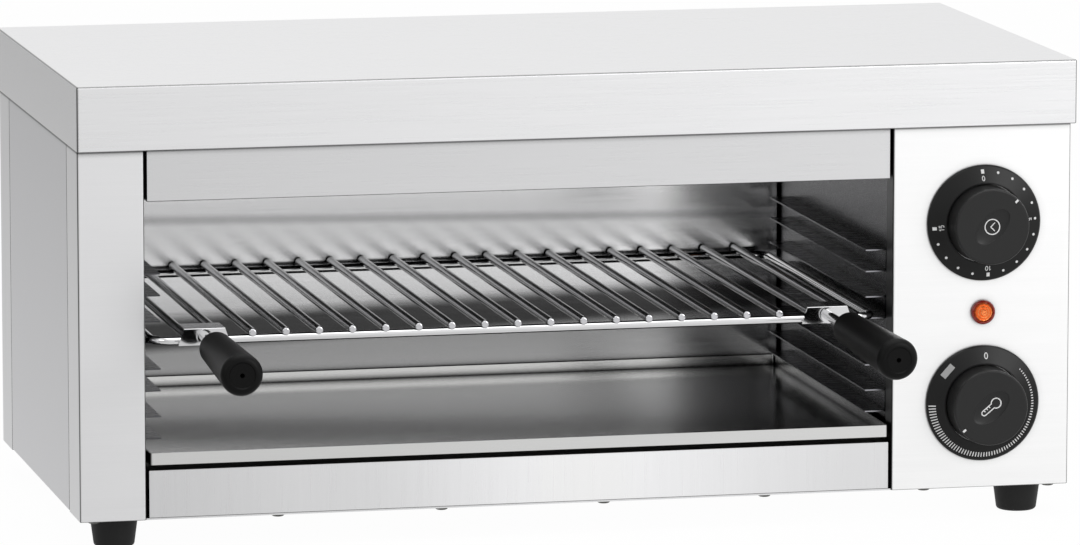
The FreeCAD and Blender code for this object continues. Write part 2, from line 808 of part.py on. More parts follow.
def make_chamber():
    height = "chamber_top_z - deck_z"
    for label, left in (("chamber_left_wall", "chamber_left - inner_sheet"),
                        ("chamber_right_wall", "chamber_right")):
        body = new_body(label)
        pad(body, "z", "deck_z", height,
            rectangle(left, "base_front_y", f"{left} + inner_sheet", "chamber_end_y"))
        if label == "chamber_right_wall":
            tube_hole = "element_radius + element_hole_gap"
            holes = [(y, "element_z", tube_hole) for y in element_leg_places()]
            pocket(body, "x", left, "inner_sheet", *holes,
                   ("capillary_turn_y", "bulb_z", "capillary_radius + element_hole_gap"))
        place(body, label)
    body = new_body("chamber_back_wall")
    pad(body, "z", "deck_z", height, hat_plan(
        "chamber_left", "chamber_right", "chamber_back_y", "chamber_end_y", "inner_sheet"))
    place(body, "chamber_back_wall")
    span = rectangle("chamber_left", "chamber_front_y", "chamber_right", "chamber_back_y")
    for label, level in (("chamber_floor", "chamber_floor_z - inner_sheet"),
                         ("heat_reflector", "reflector_z")):
        body = new_body(label)
        pad(body, "z", level, "inner_sheet", span)
        if label == "chamber_floor":
            pad(body, "z", "rail_top_z - casing_sheet", "casing_sheet + floor_step", rectangle(
                "chamber_left", "chamber_front_y", "chamber_right",
                "chamber_front_y + inner_sheet"))
        place(body, label)


def make_guides():
    """Channels spot-welded to the chamber walls, numbered from the bottom."""
    for number in range(int(SIZES["guide_count"])):
        low = f"guide_base_z + {number} * guide_pitch"
        high = f"{low} + guide_height"
        for name, wall, side in (("left", "chamber_left", "1"), ("right", "chamber_right", "-1")):
            body = new_body(f"guide_{name}_{number + 1}")
            lip = f"{wall} + {side} * guide_depth"
            web = f"{wall} + {side} * inner_sheet"
            section = [(wall, low), (lip, low), (lip, f"{low} + inner_sheet"),
                       (web, f"{low} + inner_sheet"), (web, f"{high} - inner_sheet"),
                       (lip, f"{high} - inner_sheet"), (lip, high), (wall, high)]
            pad(body, "y", "guide_front_y", "guide_length", section)
            place(body, body.Label)


def make_rack_frame():
    """Rod bent into a closed loop with round corners."""
    body = new_body("rack_frame")
    left = "rack_mid_x - rack_half"
    right = "rack_mid_x + rack_half"
    path = new_sketch(body, "z", "rod_z")
    draw_outline(path, rectangle(left, "rack_front_y", right, "rack_back_y"))
    corners = [(left, "rack_front_y"), (right, "rack_front_y"), (right, "rack_back_y"),
               (left, "rack_back_y")]
    for x, y in corners:
        point = FreeCAD.Vector(value(x), value(y), 0)
        lines = [(number, end) for number in range(path.GeometryCount) for end in (1, 2)
                 if isinstance(path.Geometry[number], Part.LineSegment)
                 and path.getPoint(number, end).distanceToPoint(point) < NEAR]
        path.fillet(lines[0][0], lines[0][1], value("rack_corner_radius"))
    profile = new_sketch(body, "x", "rack_mid_x")
    draw_circle(profile, "rack_front_y", "rod_z", "rack_rod_radius")
    pipe = body.newObject("PartDesign::AdditivePipe", "Rod")
    pipe.Profile = profile
    pipe.Spine = path
    place(body, "rack_frame")


def make_rack_wires():
    """Cross wires, each let into the frame's front and back rods as deep as its welds."""
    rods = [rod(f"Seat{number}", "rack_mid_x - rack_half", y, "rod_z", "x",
                "rack_rod_radius + fit_gap", "2 * rack_half")
            for number, y in enumerate(("rack_front_y", "rack_back_y"))]
    seats = group("WireSeats", rods)
    pieces = []
    for number in range(int(SIZES["wire_count"])):
        x = f"rack_mid_x + ({number} - (wire_count - 1) / 2) * wire_pitch"
        wire = rod(f"Wire{number + 1}", x, "wire_front_y", "wire_z", "y", "wire_radius",
                   "wire_length")
        doc.recompute()
        soft = doc.addObject("Part::Fillet", f"WireEnds{number + 1}")
        soft.Base = wire
        ends = [index for index, edge in enumerate(wire.Shape.Edges, start=1)
                if isinstance(edge.Curve, Part.Circle)]
        soft.Edges = [(index, value("wire_end_round"), value("wire_end_round")) for index in ends]
        seated = doc.addObject("Part::Cut", f"SeatedWire{number + 1}")
        seated.Base = soft
        seated.Tool = seats
        pieces.append(seated)
    place(group("RackWires", pieces), "rack_wires")


def make_grips():
    for name, side in (("left", "-1"), ("right", "1")):
        middle = f"rack_mid_x + {side} * bracket_offset"
        splay = f"rotation(vector(0; 0; 1); {side} * {name}_grip_splay)"
        lean = f"{splay} * rotation(vector(1; 0; 0); 90 + {name}_grip_droop)"
        make_grip_bracket(f"grip_bracket_{name}", middle)
        tail = "slip_gap - bracket_sheet"
        seat = f"slip_gap + stud_collar_radius * sin({name}_grip_droop + {name}_grip_splay)"
        stud = turned(f"grip_stud_{name}", [
            ("0", tail), ("stud_radius", tail), ("stud_radius", seat),
            ("stud_collar_radius", seat), ("stud_collar_radius", f"{seat} + stud_collar"),
            ("stud_radius", f"{seat} + stud_collar"),
            ("stud_radius", "stud_reach + grip_bore_depth"),
            ("0", "stud_reach + grip_bore_depth")])
        set_turned(stud, middle, "bracket_front_y", "stud_z", lean)
        finish(stud, stud.Label)
        bore = "stud_radius + fit_gap"
        bore_end = "stud_reach + grip_bore_depth + slip_gap"
        face = "grip_reach - grip_dish"
        grip = turned(f"grip_{name}", [
            (bore, "stud_reach"), ("grip_base_radius", "stud_reach"),
            ("grip_tip_radius", "grip_reach"), ("grip_dish_radius", "grip_reach"),
            ("grip_dish_radius - grip_dish", face), ("grip_pit_radius", face),
            ("0", f"{face} - grip_pit"), ("0", bore_end), (bore, bore_end)])
        round_edges(grip, "grip_edge", ring_at("grip_tip_radius", "grip_reach"))
        round_edges(grip, "grip_base_edge", ring_at("grip_base_radius", "stud_reach"))
        set_turned(grip, middle, "bracket_front_y", "stud_z", lean)
        finish(grip, grip.Label)


def make_grip_bracket(label, middle):
    """Plate bent down over the front rod, with its stud hole in the front web."""
    body = new_body(label)
    front = "bracket_front_y"
    left = f"{middle} - bracket_width / 2"
    right = f"{middle} + bracket_width / 2"
    pad(body, "z", "bracket_top_z - bracket_sheet", "bracket_sheet",
        rectangle(left, front, right, f"{front} + bracket_depth"))
    web = [(f"{left} - bracket_flare", "bracket_foot_z"), (f"{right} + bracket_flare", "bracket_foot_z"),
           (right, "bracket_top_z"), (left, "bracket_top_z")]
    pad(body, "y", front, "bracket_sheet", web)
    pocket(body, "y", front, "bracket_sheet", (middle, "stud_z", "stud_radius + stud_hole_gap"))
    round_edges(body, "bracket_sheet / 2", edge_at("x", front, "bracket_top_z"))
    place(body, label)


def make_tray():
    body = new_body("drip_tray")
    pad(body, "z", "tray_floor_z", "tray_height",
        rectangle("tray_left", "tray_front_y", "tray_right", "tray_back_y"))
    round_edges(body, "tray_corner_radius", any_of(*[
        edge_at("z", x, y) for x in ("tray_left", "tray_right")
        for y in ("tray_front_y", "tray_back_y")]))
    pocket(body, "z", "tray_floor_z + inner_sheet", "tray_height",
           rectangle("tray_left + inner_sheet", "tray_front_y + inner_sheet",
                     "tray_right - inner_sheet", "tray_back_y - inner_sheet"))
    inside = [edge_at("z", x, y) for x in ("tray_left + inner_sheet", "tray_right - inner_sheet")
              for y in ("tray_front_y + inner_sheet", "tray_back_y - inner_sheet")]
    round_edges(body, "tray_corner_radius - inner_sheet", any_of(*inside))
    place(body, "drip_tray")


def element_leg_places():
    return [f"{middle} + {sign} * element_spread"
            for middle in ("element_front_y", "element_rear_y") for sign in ("-1", "1")]


def make_elements():
    """Two tubular hairpins that lie under the reflector."""
    for name in ("front", "rear"):
        middle = f"element_{name}_y"
        legs = [rod(f"Leg{name}{number}", "element_turn_x", f"{middle} + {sign} * element_spread",
                    "element_z", "x", "element_radius", "element_end_x - element_turn_x")
                for number, sign in enumerate(("-1", "1"))]
        bend = doc.addObject("Part::Torus", f"Bend{name}")
        bind(bend, "Radius1", "element_spread")
        bind(bend, "Radius2", "element_radius")
        bend.Angle3 = 180
        spot = f"vector(element_turn_x; {middle}; element_z)"
        bind(bend, "Placement", f"placement({spot}; rotation(vector(0; 0; 1); 90))")
        place(joined(f"Element{name}", legs + [bend]), f"heating_element_{name}")
    legs = element_leg_places()
    bushes = [ring(f"Bush{number}", "wall_outside_x", y, "element_z", "x", "bush_radius",
                   "element_radius + fit_gap", "bush_length")
              for number, y in enumerate(legs)]
    place(group("Bushes", bushes), "element_bushes")
    pins = []
    for number, y in enumerate(legs):
        core = rod(f"Core{number}", "element_end_x", y, "element_z", "x",
                   "terminal_core_radius", "terminal_core")
        pin = rod(f"Pin{number}", "element_end_x + terminal_core", y, "element_z", "x",
                  "terminal_pin_radius", "terminal_pin")
        pins.append(joined(f"Terminal{number}", [core, pin]))
    place(group("Terminals", pins), "element_terminals")
    hanger = new_body("element_hanger")
    pad(hanger, "x", "hanger_x", "casing_sheet",
        rectangle("hanger_front_y", "reflector_z - hanger_drop",
                  "chamber_back_y - hanger_back_gap", "reflector_z"),
        *[(y, "element_z", "element_radius + slip_gap") for y in legs])
    place(hanger, "element_hanger")


def make_control_body(label, level, width, height, depth):
    """Switch body behind the panel, with a threaded neck through it and a bored shaft seat."""
    body = new_body(label)
    pad(body, "y", "panel_back_y", depth,
        rectangle(f"control_x - {width} / 2", f"{level} - {height} / 2",
                  f"control_x + {width} / 2", f"{level} + {height} / 2"))
    pad(body, "y", "front_y - control_neck", "control_neck + casing_sheet",
        ("control_x", level, "control_neck_radius"))
    pocket(body, "y", "front_y - control_neck", "control_neck + shaft_inside + slip_gap",
           ("control_x", level, "shaft_radius + fit_gap"))
    edges = [edge_at("y", f"control_x + {x} * {width} / 2", f"{level} + {z} * {height} / 2")
             for x in ("-1", "1") for z in ("-1", "1")]
    round_edges(body, "casing_bend_radius", any_of(*edges))
    place(body, label)


def make_controls():
    make_control_body("timer_body", "timer_z", "timer_width", "timer_height", "timer_depth")
    make_control_body("thermostat_body", "thermostat_z", "thermostat_width", "thermostat_width",
                      "thermostat_depth")
    nuts = [ring(f"ControlNut{number}", "control_x", "front_y - control_nut", level, "y",
                 "control_nut_radius", "control_neck_radius + fit_gap", "control_nut")
            for number, level in enumerate(("timer_z", "thermostat_z"))]
    place(group("ControlNuts", nuts), "control_nuts")
    for name in ("timer", "thermostat"):
        level = f"{name}_z"
        aim = f"{FACING_FRONT} * rotation(vector(0; 0; 1); -1 * {name}_pointer_angle)"
        dial = make_dial(f"{name}_dial")
        finish(set_turned(dial, "control_x", "front_y", level, FACING_FRONT), dial.Label)
        knob = make_knob(f"{name}_knob")
        finish(set_turned(knob, "control_x", "front_y", level, aim), knob.Label)
        shaft = turned(f"{name}_shaft", [
            ("0", "-1 * shaft_inside"), ("shaft_radius", "-1 * shaft_inside"),
            ("shaft_radius", "knob_height - knob_hub_roof"),
            ("0", "knob_height - knob_hub_roof")])
        finish(set_turned(shaft, "control_x", "front_y", level, aim), shaft.Label)


def make_dial(label):
    """Fixed ring round the knob, sloping up from a thin edge; it carries the scale."""
    bore = "knob_base_radius + knob_gap"
    dial = turned(label, [
        (bore, "0"), ("dial_radius", "0"), ("dial_radius", "dial_edge"),
        ("dial_radius - dial_edge_bevel", "dial_edge + dial_edge_bevel"),
        (f"{bore} + dial_edge_bevel", "dial_height"), (bore, "dial_height")])
    return dial


def make_knob(label):
    """Hollow cap on a hub, with a long dish in its face and a notch for the pointer."""
    wall = "knob_base_radius - knob_wall"
    roof = "knob_height - knob_wall"
    bore = "shaft_radius + fit_gap"
    bore_end = "knob_height - knob_hub_roof + slip_gap"
    knob = turned(label, [
        ("knob_base_radius", "knob_lift"), ("knob_face_radius", "knob_height"),
        ("0", "knob_height"), ("0", bore_end), (bore, bore_end), (bore, "knob_hub_start"),
        ("knob_hub_radius", "knob_hub_start"), ("knob_hub_radius", roof),
        ("knob_face_radius - knob_wall", roof), (wall, "knob_lift")])
    round_edges(knob, "knob_edge_radius", ring_at("knob_face_radius", "knob_height"))
    notch_end = "knob_face_radius + overrun"
    notch_start = "knob_face_radius - pointer_length"
    pocket(knob, "z", "knob_height - pointer_depth", "pointer_depth + overrun",
           rectangle("-1 * pointer_width / 2", notch_start, "pointer_width / 2", notch_end))
    dish = knob.newObject("PartDesign::SubtractiveEllipsoid", "Dish")
    bind(dish, "Radius1", "knob_dish")
    bind(dish, "Radius2", "knob_dish_width")
    bind(dish, "Radius3", "knob_dish_length")
    bind(dish, "Placement.Base.z", "knob_height")
    return knob


def make_lamp():
    lens = turned("lamp_lens", [
        ("0", "-1 * lens_neck"), ("lens_neck_radius", "-1 * lens_neck"),
        ("lens_neck_radius", "0"), ("lens_radius", "0"), ("lens_radius", "lens_edge"),
        ("lens_dome_radius", "lens_edge"), ("lens_dome_radius", "lens_dome"),
        ("0", "lens_dome")])
    round_edges(lens, "lens_edge / 2", any_of(
        ring_at("lens_radius", "lens_edge"), ring_at("lens_dome_radius", "lens_dome")))
    finish(set_turned(lens, "control_x", "front_y", "lamp_z", FACING_FRONT), "lamp_lens")
    socket = "lens_neck_radius + fit_gap"
    socket_end = "lens_neck - casing_sheet + slip_gap"
    body = turned("lamp_body", [
        (socket, "0"), ("lamp_body_radius", "0"), ("lamp_body_radius", "lamp_body"),
        ("0", "lamp_body"), ("0", socket_end), (socket, socket_end)])
    finish(set_turned(body, "control_x", "panel_back_y", "lamp_z", FACING_BACK), "lamp_body")


def bent_wire(points, bend):
    """Path of straight runs joined by tangent arcs of one radius."""
    edges = []
    start = points[0]
    for before, corner, after in zip(points, points[1:], points[2:]):
        inward = (before - corner).normalize()
        onward = (after - corner).normalize()
        half = inward.getAngle(onward) / 2
        reach = bend * (inward + onward).Length / (inward - onward).Length
        middle = (inward + onward).normalize()
        span = (reach ** 2 + bend ** 2) ** 0.5 - bend
        arc_start = corner + inward * reach
        arc_end = corner + onward * reach
        if half <= 0:
            raise RuntimeError("a path doubles back on itself")
        edges.append(Part.LineSegment(start, arc_start).toShape())
        edges.append(Part.Arc(arc_start, corner + middle * span, arc_end).toShape())
        start = arc_end
    edges.append(Part.LineSegment(start, points[-1]).toShape())
    return Part.Wire(edges)


def tube(route, radius, bend):
    """Round wire swept along a route of (x, y, z) expressions."""
    points = [FreeCAD.Vector(*[value(text) for text in point]) for point in route]
    path = bent_wire(points, value(bend))
    circle = Part.Circle(points[0], points[1] - points[0], value(radius)).toShape()
    solid = path.makePipeShell([Part.Wire([circle])], True, False)
    expected = path.Length * math.pi * value(radius) ** 2
    if abs(solid.Volume / expected - 1) > VOLUME_SLACK:
        raise RuntimeError("a tube's volume is not its section times its length")
    return solid


def shaped(name, shape, label):
    """Sub-part whose shape is built here from the sheet's sizes."""
    item = doc.addObject("Part::Feature", name)
    item.Shape = shape
    return place(item, label)


def make_sensor():
    """Thermostat bulb under the reflector, and its capillary through the chamber wall."""
    start = ("bulb_x", "bulb_back_y", "bulb_z")
    route = [start, ("bulb_x", "capillary_turn_y", "bulb_z"),
             ("capillary_x", "capillary_turn_y", "bulb_z"),
             ("capillary_x", "capillary_turn_y", "capillary_z"),
             ("capillary_x", "thermostat_rear_y", "capillary_z")]
    capillary = tube(route, "capillary_radius", "capillary_bend")
    bulb_start = FreeCAD.Vector(value("bulb_x"), value("bulb_front_y"), value("bulb_z"))
    bulb = Part.makeCylinder(value("bulb_radius"), value("bulb_length"), bulb_start,
                             FreeCAD.Vector(0, 1, 0))
    shaped("Sensor", bulb.fuse(capillary).removeSplitter(), "thermostat_sensor")
    side = "bulb_radius + clip_wall"
    clip = doc.addObject("Part::Cut", "Clip")
    clip.Base = block("ClipBlock", f"bulb_x - ({side})",
                      "bulb_front_y + clip_inset", f"bulb_z - ({side})",
                      f"2 * ({side})", "clip_width", f"reflector_z - bulb_z + {side}")
    clip.Tool = rod("ClipBore", "bulb_x", "bulb_front_y", "bulb_z", "y",
                    "bulb_radius + fit_gap", "bulb_length")
    place(clip, "sensor_clip")


def make_supply():
    body = new_body("terminal_block")
    left = "block_x - block_length / 2"
    front = "block_y - block_width / 2"
    pad(body, "z", "deck_z", "block_height",
        rectangle(left, front, f"{left} + block_length", f"{front} + block_width"))
    holes = [(f"block_x + {column} * block_hole_pitch", f"block_y + {row} * block_hole_row",
              "block_hole_radius") for column in (-1, 0, 1) for row in (-1, 1)]
    pocket(body, "z", "deck_z + block_height - block_hole_depth", "block_hole_depth", *holes)
    place(body, "terminal_block")
    nose = "gland_flange + gland_dome"
    gland = turned("cable_gland", [
        ("gland_bore_radius", "-1 * gland_thread"), ("gland_thread_radius", "-1 * gland_thread"),
        ("gland_thread_radius", "0"), ("gland_flange_radius", "0"),
        ("gland_flange_radius", "gland_flange"), ("gland_dome_radius", "gland_flange"),
        ("gland_dome_radius", nose), ("gland_nose_radius", f"{nose} + gland_nose"),
        ("gland_bore_radius", f"{nose} + gland_nose")])
    finish(set_turned(gland, "control_x", "back_y", "gland_z", FACING_BACK), "cable_gland")
    nut = ring("GlandNut", "control_x", "back_y - casing_sheet - gland_nut", "gland_z", "y",
               "gland_nut_radius", "gland_thread_radius + fit_gap", "gland_nut")
    place(nut, "gland_nut")


def make_leads():
    """Leads from the terminal block to the controls and on to the elements."""
    start_y = "block_y - block_width / 2"
    low = "lead_floor_z"
    timer_low = "timer_z - timer_tab_offset"
    timer_high = "timer_z + timer_tab_offset"
    thermostat_low = "thermostat_z - thermostat_tab_offset"
    thermostat_high = "thermostat_z + thermostat_tab_offset"
    legs = element_leg_places()
    far = "lead_left_x"
    near = "lead_right_x"
    behind_timer = "timer_rear_y + lead_clearance"
    behind_thermostat = "thermostat_rear_y + lead_bundle"
    before_block = f"{start_y} - lead_clearance"
    lamp_left = "control_x - lead_lamp_offset"
    lamp_right = "control_x + lead_lamp_offset"
    pin_end = "terminal_end_x"
    level = "element_z"
    routes = [
        [(far, start_y, low), (far, "lead_low_y", low), (far, "lead_low_y", thermostat_low),
         (far, "thermostat_rear_y", thermostat_low)],
        [(near, "thermostat_rear_y", thermostat_high), (near, behind_thermostat, thermostat_high),
         (near, behind_thermostat, timer_low), (near, "timer_rear_y", timer_low)],
        [("block_x", "timer_rear_y", timer_high), ("block_x", legs[1], timer_high),
         ("block_x", legs[1], level), (pin_end, legs[1], level)],
        [(pin_end, legs[0], level), (near, legs[0], level), (near, legs[2], level),
         (pin_end, legs[2], level)],
        [(pin_end, legs[3], level), ("block_x", legs[3], level), ("block_x", before_block, level),
         ("block_x", before_block, low), ("block_x", start_y, low)],
        [(lamp_left, "lamp_rear_y", "lamp_z"), (lamp_left, behind_timer, "lamp_z"),
         (lamp_left, behind_timer, timer_low), (lamp_left, "timer_rear_y", timer_low)],
        [(lamp_right, "lamp_rear_y", "lamp_z"), (lamp_right, "lead_lamp_y", "lamp_z"),
         (lamp_right, "lead_lamp_y", low), (lamp_right, start_y, low)],
    ]
    leads = [tube(route, "lead_radius", "lead_bend") for route in routes]
    shaped("Leads", Part.makeCompound(leads), "internal_leads")


def make_feet():
    screws = []
    nuts = []
    for name, x, y in feet_places():
        foot = turned(f"foot_{name}", [
            ("foot_recess_radius", "0"), ("foot_base_radius", "0"),
            ("foot_top_radius", "foot_height"),
            ("foot_screw_radius + screw_hole_gap", "foot_height"),
            ("foot_screw_radius + screw_hole_gap", "foot_recess"),
            ("foot_recess_radius", "foot_recess")])
        round_edges(foot, "foot_edge_radius", ring_at("foot_base_radius", "0"))
        finish(set_turned(foot, x, y, "0", UPRIGHT), foot.Label)
        screw = turned(f"FootScrew_{name}", [
            ("0", "foot_recess - foot_screw_head"),
            ("foot_screw_head_radius", "foot_recess - foot_screw_head"),
            ("foot_screw_head_radius", "foot_recess"), ("foot_screw_radius", "foot_recess"),
            ("foot_screw_radius", "deck_z + foot_nut + overrun"),
            ("0", "deck_z + foot_nut + overrun")])
        screws.append(set_turned(screw, x, y, "0", UPRIGHT))
        nuts.append(ring(f"FootNut_{name}", x, f"{y} - middle_y", "deck_z", "z",
                         "foot_nut_radius", "foot_screw_radius + fit_gap", "foot_nut"))
    finish(group("FootScrews", screws), "foot_screws")
    finish(group("FootNuts", nuts), "foot_nuts")


def dome_screw(name):
    """Screw with a domed head; its own Z points out of the head, from the seat."""
    screw = turned(name, [
        ("0", "-1 * screw_length"), ("screw_radius", "-1 * screw_length"),
        ("screw_radius", "0"), ("screw_head_radius", "0"),
        ("screw_head_radius", "screw_head"), ("0", "screw_head")])
    round_edges(screw, "screw_head * screw_dome_share", ring_at("screw_head_radius", "screw_head"))
    return screw


def make_screws():
    screws = []
    for number, x in enumerate(base_screw_places()):
        screw = dome_screw(f"BaseScrew{number}")
        screws.append(set_turned(screw, x, "base_screw_y", "floor_z", POINTING_DOWN))
    rows = (("CoverScrew", "cover_depth", "cover_screw_z"),
            ("RearScrew", "back_y", "rear_screw_z"))
    for name, seat, level in rows:
        for number, x in enumerate(rear_screw_places()):
            screw = dome_screw(f"{name}{number}")
            screws.append(set_turned(screw, x, seat, level, FACING_BACK))
    finish(group("CaseScrews", screws), "case_screws")


def check_and_write():
    """Stop on any failed feature or bad shape; otherwise write one file per sub-part."""
    doc.recompute()
    for item in doc.Objects:
        if "Invalid" in item.State or "Error" in item.State:
            raise RuntimeError(f"{item.Label} failed: {item.State}")
    for item in sub_parts:
        if item.Shape.isNull() or not item.Shape.isValid() or not item.Shape.Solids:
            raise RuntimeError(f"{item.Label} has no valid solid")
    os.makedirs("parts", exist_ok=True)
    for item in sub_parts:
        item.Shape.exportStep(f"parts/{item.Label}.step")
    print(len(sub_parts), "sub-parts written")


make_cover()
make_casing_front("left_stile", "-1", "mouth_left")
make_casing_front("control_panel", "1", "mouth_right")
make_side_panel("left_side_panel", "-1")
make_side_panel("right_side_panel", "1")
make_back_panel()
make_base_panel()
make_front_bars()
make_chamber()
make_guides()
make_rack_frame()
make_rack_wires()
make_grips()
make_tray()
make_elements()
make_controls()
make_lamp()
make_sensor()
make_supply()
make_leads()
make_feet()
make_screws()
check_and_write()
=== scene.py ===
"""Dress of an electric cheese melter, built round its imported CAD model.

Everything is in metres in the model's own frame: X to the viewer's right, Y to the
back and Z up, with the floor at zero.
"""
import math

import bpy
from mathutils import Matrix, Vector


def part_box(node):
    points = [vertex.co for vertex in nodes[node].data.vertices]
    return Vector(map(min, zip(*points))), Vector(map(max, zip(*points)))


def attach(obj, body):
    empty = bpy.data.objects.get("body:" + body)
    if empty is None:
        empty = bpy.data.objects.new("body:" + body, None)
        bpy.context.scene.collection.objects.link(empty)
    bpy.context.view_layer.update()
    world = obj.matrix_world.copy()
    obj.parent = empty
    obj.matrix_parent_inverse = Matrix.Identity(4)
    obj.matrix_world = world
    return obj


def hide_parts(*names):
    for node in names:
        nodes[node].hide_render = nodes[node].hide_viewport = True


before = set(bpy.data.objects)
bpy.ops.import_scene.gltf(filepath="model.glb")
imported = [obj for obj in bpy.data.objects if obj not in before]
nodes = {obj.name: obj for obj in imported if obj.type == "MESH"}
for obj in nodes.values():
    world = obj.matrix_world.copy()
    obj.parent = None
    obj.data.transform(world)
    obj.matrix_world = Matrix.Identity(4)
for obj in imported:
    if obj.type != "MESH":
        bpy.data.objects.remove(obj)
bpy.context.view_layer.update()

MM = 0.001

# Fronts of the cover and of the case, read from the frame.
COVER_FRONT_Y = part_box("top_cover")[0].y
CASE_FRONT_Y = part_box("control_panel")[0].y


def middle(node):
    """Middle of a CAD piece's box."""
    low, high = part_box(node)
    return (low + high) / 2


def srgb(code):
    """Linear colour of an sRGB hex value."""
    channels = [int(code[start:start + 2], 16) / 255 for start in (1, 3, 5)]
    linear = [c / 12.92 if c <= 0.04045 else ((c + 0.055) / 1.055) ** 2.4 for c in channels]
    return (*linear, 1.0)


# Materials

# Reach of a seam's shade, and the open share of the sky in a closed seam and on a free face.
SEAM_REACH = 5.0 * MM
SEAM_CLOSED = 0.5
SEAM_OPEN = 0.95
# Largest part of a normal along one axis, on a full fold and on a flat face.
FOLD_NORMAL = 0.78
FLAT_NORMAL = 0.985
# Cosine of the angle to a direction where its share begins, and where it is full.
SHARE_BEGINS = 0.5
SHARE_FULL = 0.95
# Hair lines of ground steel. The real lines are 0.05 mm wide. These are wider, so that they
# show at this distance.
HAIR_WIDTH = 0.7 * MM
HAIR_LENGTH = 60 * MM
HAIR_STRENGTH = 0.25
# Range that the noise of the hair lines fills.
NOISE_LOW = 0.3
NOISE_HIGH = 0.7
# Strength of the grain on moulded plastic.
GRAIN_STRENGTH = 0.3
# Directions that a face can look in.
UP = (0.0, 0.0, 1.0)
LEFT = (-1.0, 0.0, 0.0)
FRONT = (0.0, -1.0, 0.0)
WIRE_TOP = (0.34, 0.0, 0.94)
WIRE_FOOT = (-0.7, 0.0, -0.7)
# Edges of the CAD pieces that are sharper than this stay sharp.
SHARP_EDGE = math.radians(32)
GUIDE_NUMBERS = range(1, 5)


def add_node(tree, kind, links=None, **settings):
    """One node with its settings, and its inputs joined to other nodes' outputs or set."""
    node = tree.nodes.new(kind)
    for name, setting in settings.items():
        setattr(node, name, setting)
    for socket, source in (links or {}).items():
        target = node.inputs[socket]
        if isinstance(source, bpy.types.NodeSocket):
            tree.links.new(source, target)
        else:
            target.default_value = source
    return node


def multiply(tree, colour, share):
    """A colour times a share."""
    mixed = add_node(tree, "ShaderNodeMix", {"Factor": 1.0}, data_type="RGBA",
                     blend_type="MULTIPLY")
    tree.links.new(colour, mixed.inputs[6])
    tree.links.new(share, mixed.inputs[7])
    return mixed.outputs[2]


def shade_crevices(tree, colour, darkest):
    """A colour that falls off in the seams and corners, where hardly any light gets in."""
    open_sky = add_node(tree, "ShaderNodeAmbientOcclusion", {"Distance": SEAM_REACH}, samples=8)
    share = add_node(tree, "ShaderNodeMapRange", {
        "Value": open_sky.outputs["AO"], "From Min": SEAM_CLOSED, "From Max": SEAM_OPEN,
        "To Min": darkest, "To Max": 1.0})
    return multiply(tree, colour, share.outputs[0])


def shade_folds(tree, colour, kept):
    """A colour that keeps a share on rounded folds, which mirror the room's dark side."""
    facing = add_node(tree, "ShaderNodeNewGeometry")
    size = add_node(tree, "ShaderNodeVectorMath", {0: facing.outputs["Normal"]},
                    operation="ABSOLUTE")
    parts = add_node(tree, "ShaderNodeSeparateXYZ", {"Vector": size.outputs[0]})
    level = add_node(tree, "ShaderNodeMath", {0: parts.outputs["X"], 1: parts.outputs["Y"]},
                     operation="MAXIMUM")
    largest = add_node(tree, "ShaderNodeMath", {0: level.outputs[0], 1: parts.outputs["Z"]},
                       operation="MAXIMUM")
    flat = add_node(tree, "ShaderNodeMapRange", {
        "Value": largest.outputs[0], "From Min": FOLD_NORMAL, "From Max": FLAT_NORMAL,
        "To Min": kept, "To Max": 1.0})
    return multiply(tree, colour, flat.outputs[0])


def shade_towards(tree, colour, direction, kept):
    """Painted light and shade: a colour that keeps a share on faces that look in one direction.
    """
    facing = add_node(tree, "ShaderNodeNewGeometry")
    towards = add_node(tree, "ShaderNodeVectorMath", {
        0: facing.outputs["Normal"], 1: direction}, operation="DOT_PRODUCT")
    share = add_node(tree, "ShaderNodeMapRange", {
        "Value": towards.outputs["Value"], "From Min": SHARE_BEGINS, "From Max": SHARE_FULL,
        "To Min": 1.0, "To Max": kept})
    return multiply(tree, colour, share.outputs[0])


def tint_by_place(material, stops, across=0.0, upward=1.0):
    """Colour times a tone that goes by place.

    The place is X times across plus Z times upward. The stops pair a place in millimetres
    with a tone.
    """
    tree = material.node_tree
    base = tree.nodes["Principled BSDF"].inputs["Base Color"]
    colour = base.links[0].from_socket
    place = add_node(tree, "ShaderNodeTexCoord")
    parts = add_node(tree, "ShaderNodeSeparateXYZ", {"Vector": place.outputs["Object"]})
    low, high = stops[0][0], stops[-1][0]
    rise = add_node(tree, "ShaderNodeMath", {0: parts.outputs["Z"], 1: upward},
                    operation="MULTIPLY")
    level = add_node(tree, "ShaderNodeMath", {
        0: parts.outputs["X"], 1: across, 2: rise.outputs[0]}, operation="MULTIPLY_ADD")
    share = add_node(tree, "ShaderNodeMapRange", {
        "Value": level.outputs[0], "From Min": low * MM, "From Max": high * MM})
    ramp = add_node(tree, "ShaderNodeValToRGB", {"Fac": share.outputs[0]})
    ramp.color_ramp.interpolation = "EASE"
    points = ramp.color_ramp.elements
    for index, (place_mm, tone) in enumerate(stops):
        spot = (place_mm - low) / (high - low)
        point = points[index] if index < 2 else points.new(spot)
        point.position = spot
        point.color = (tone, tone, tone, 1.0)
    tree.links.new(multiply(tree, colour, ramp.outputs[0]), base)


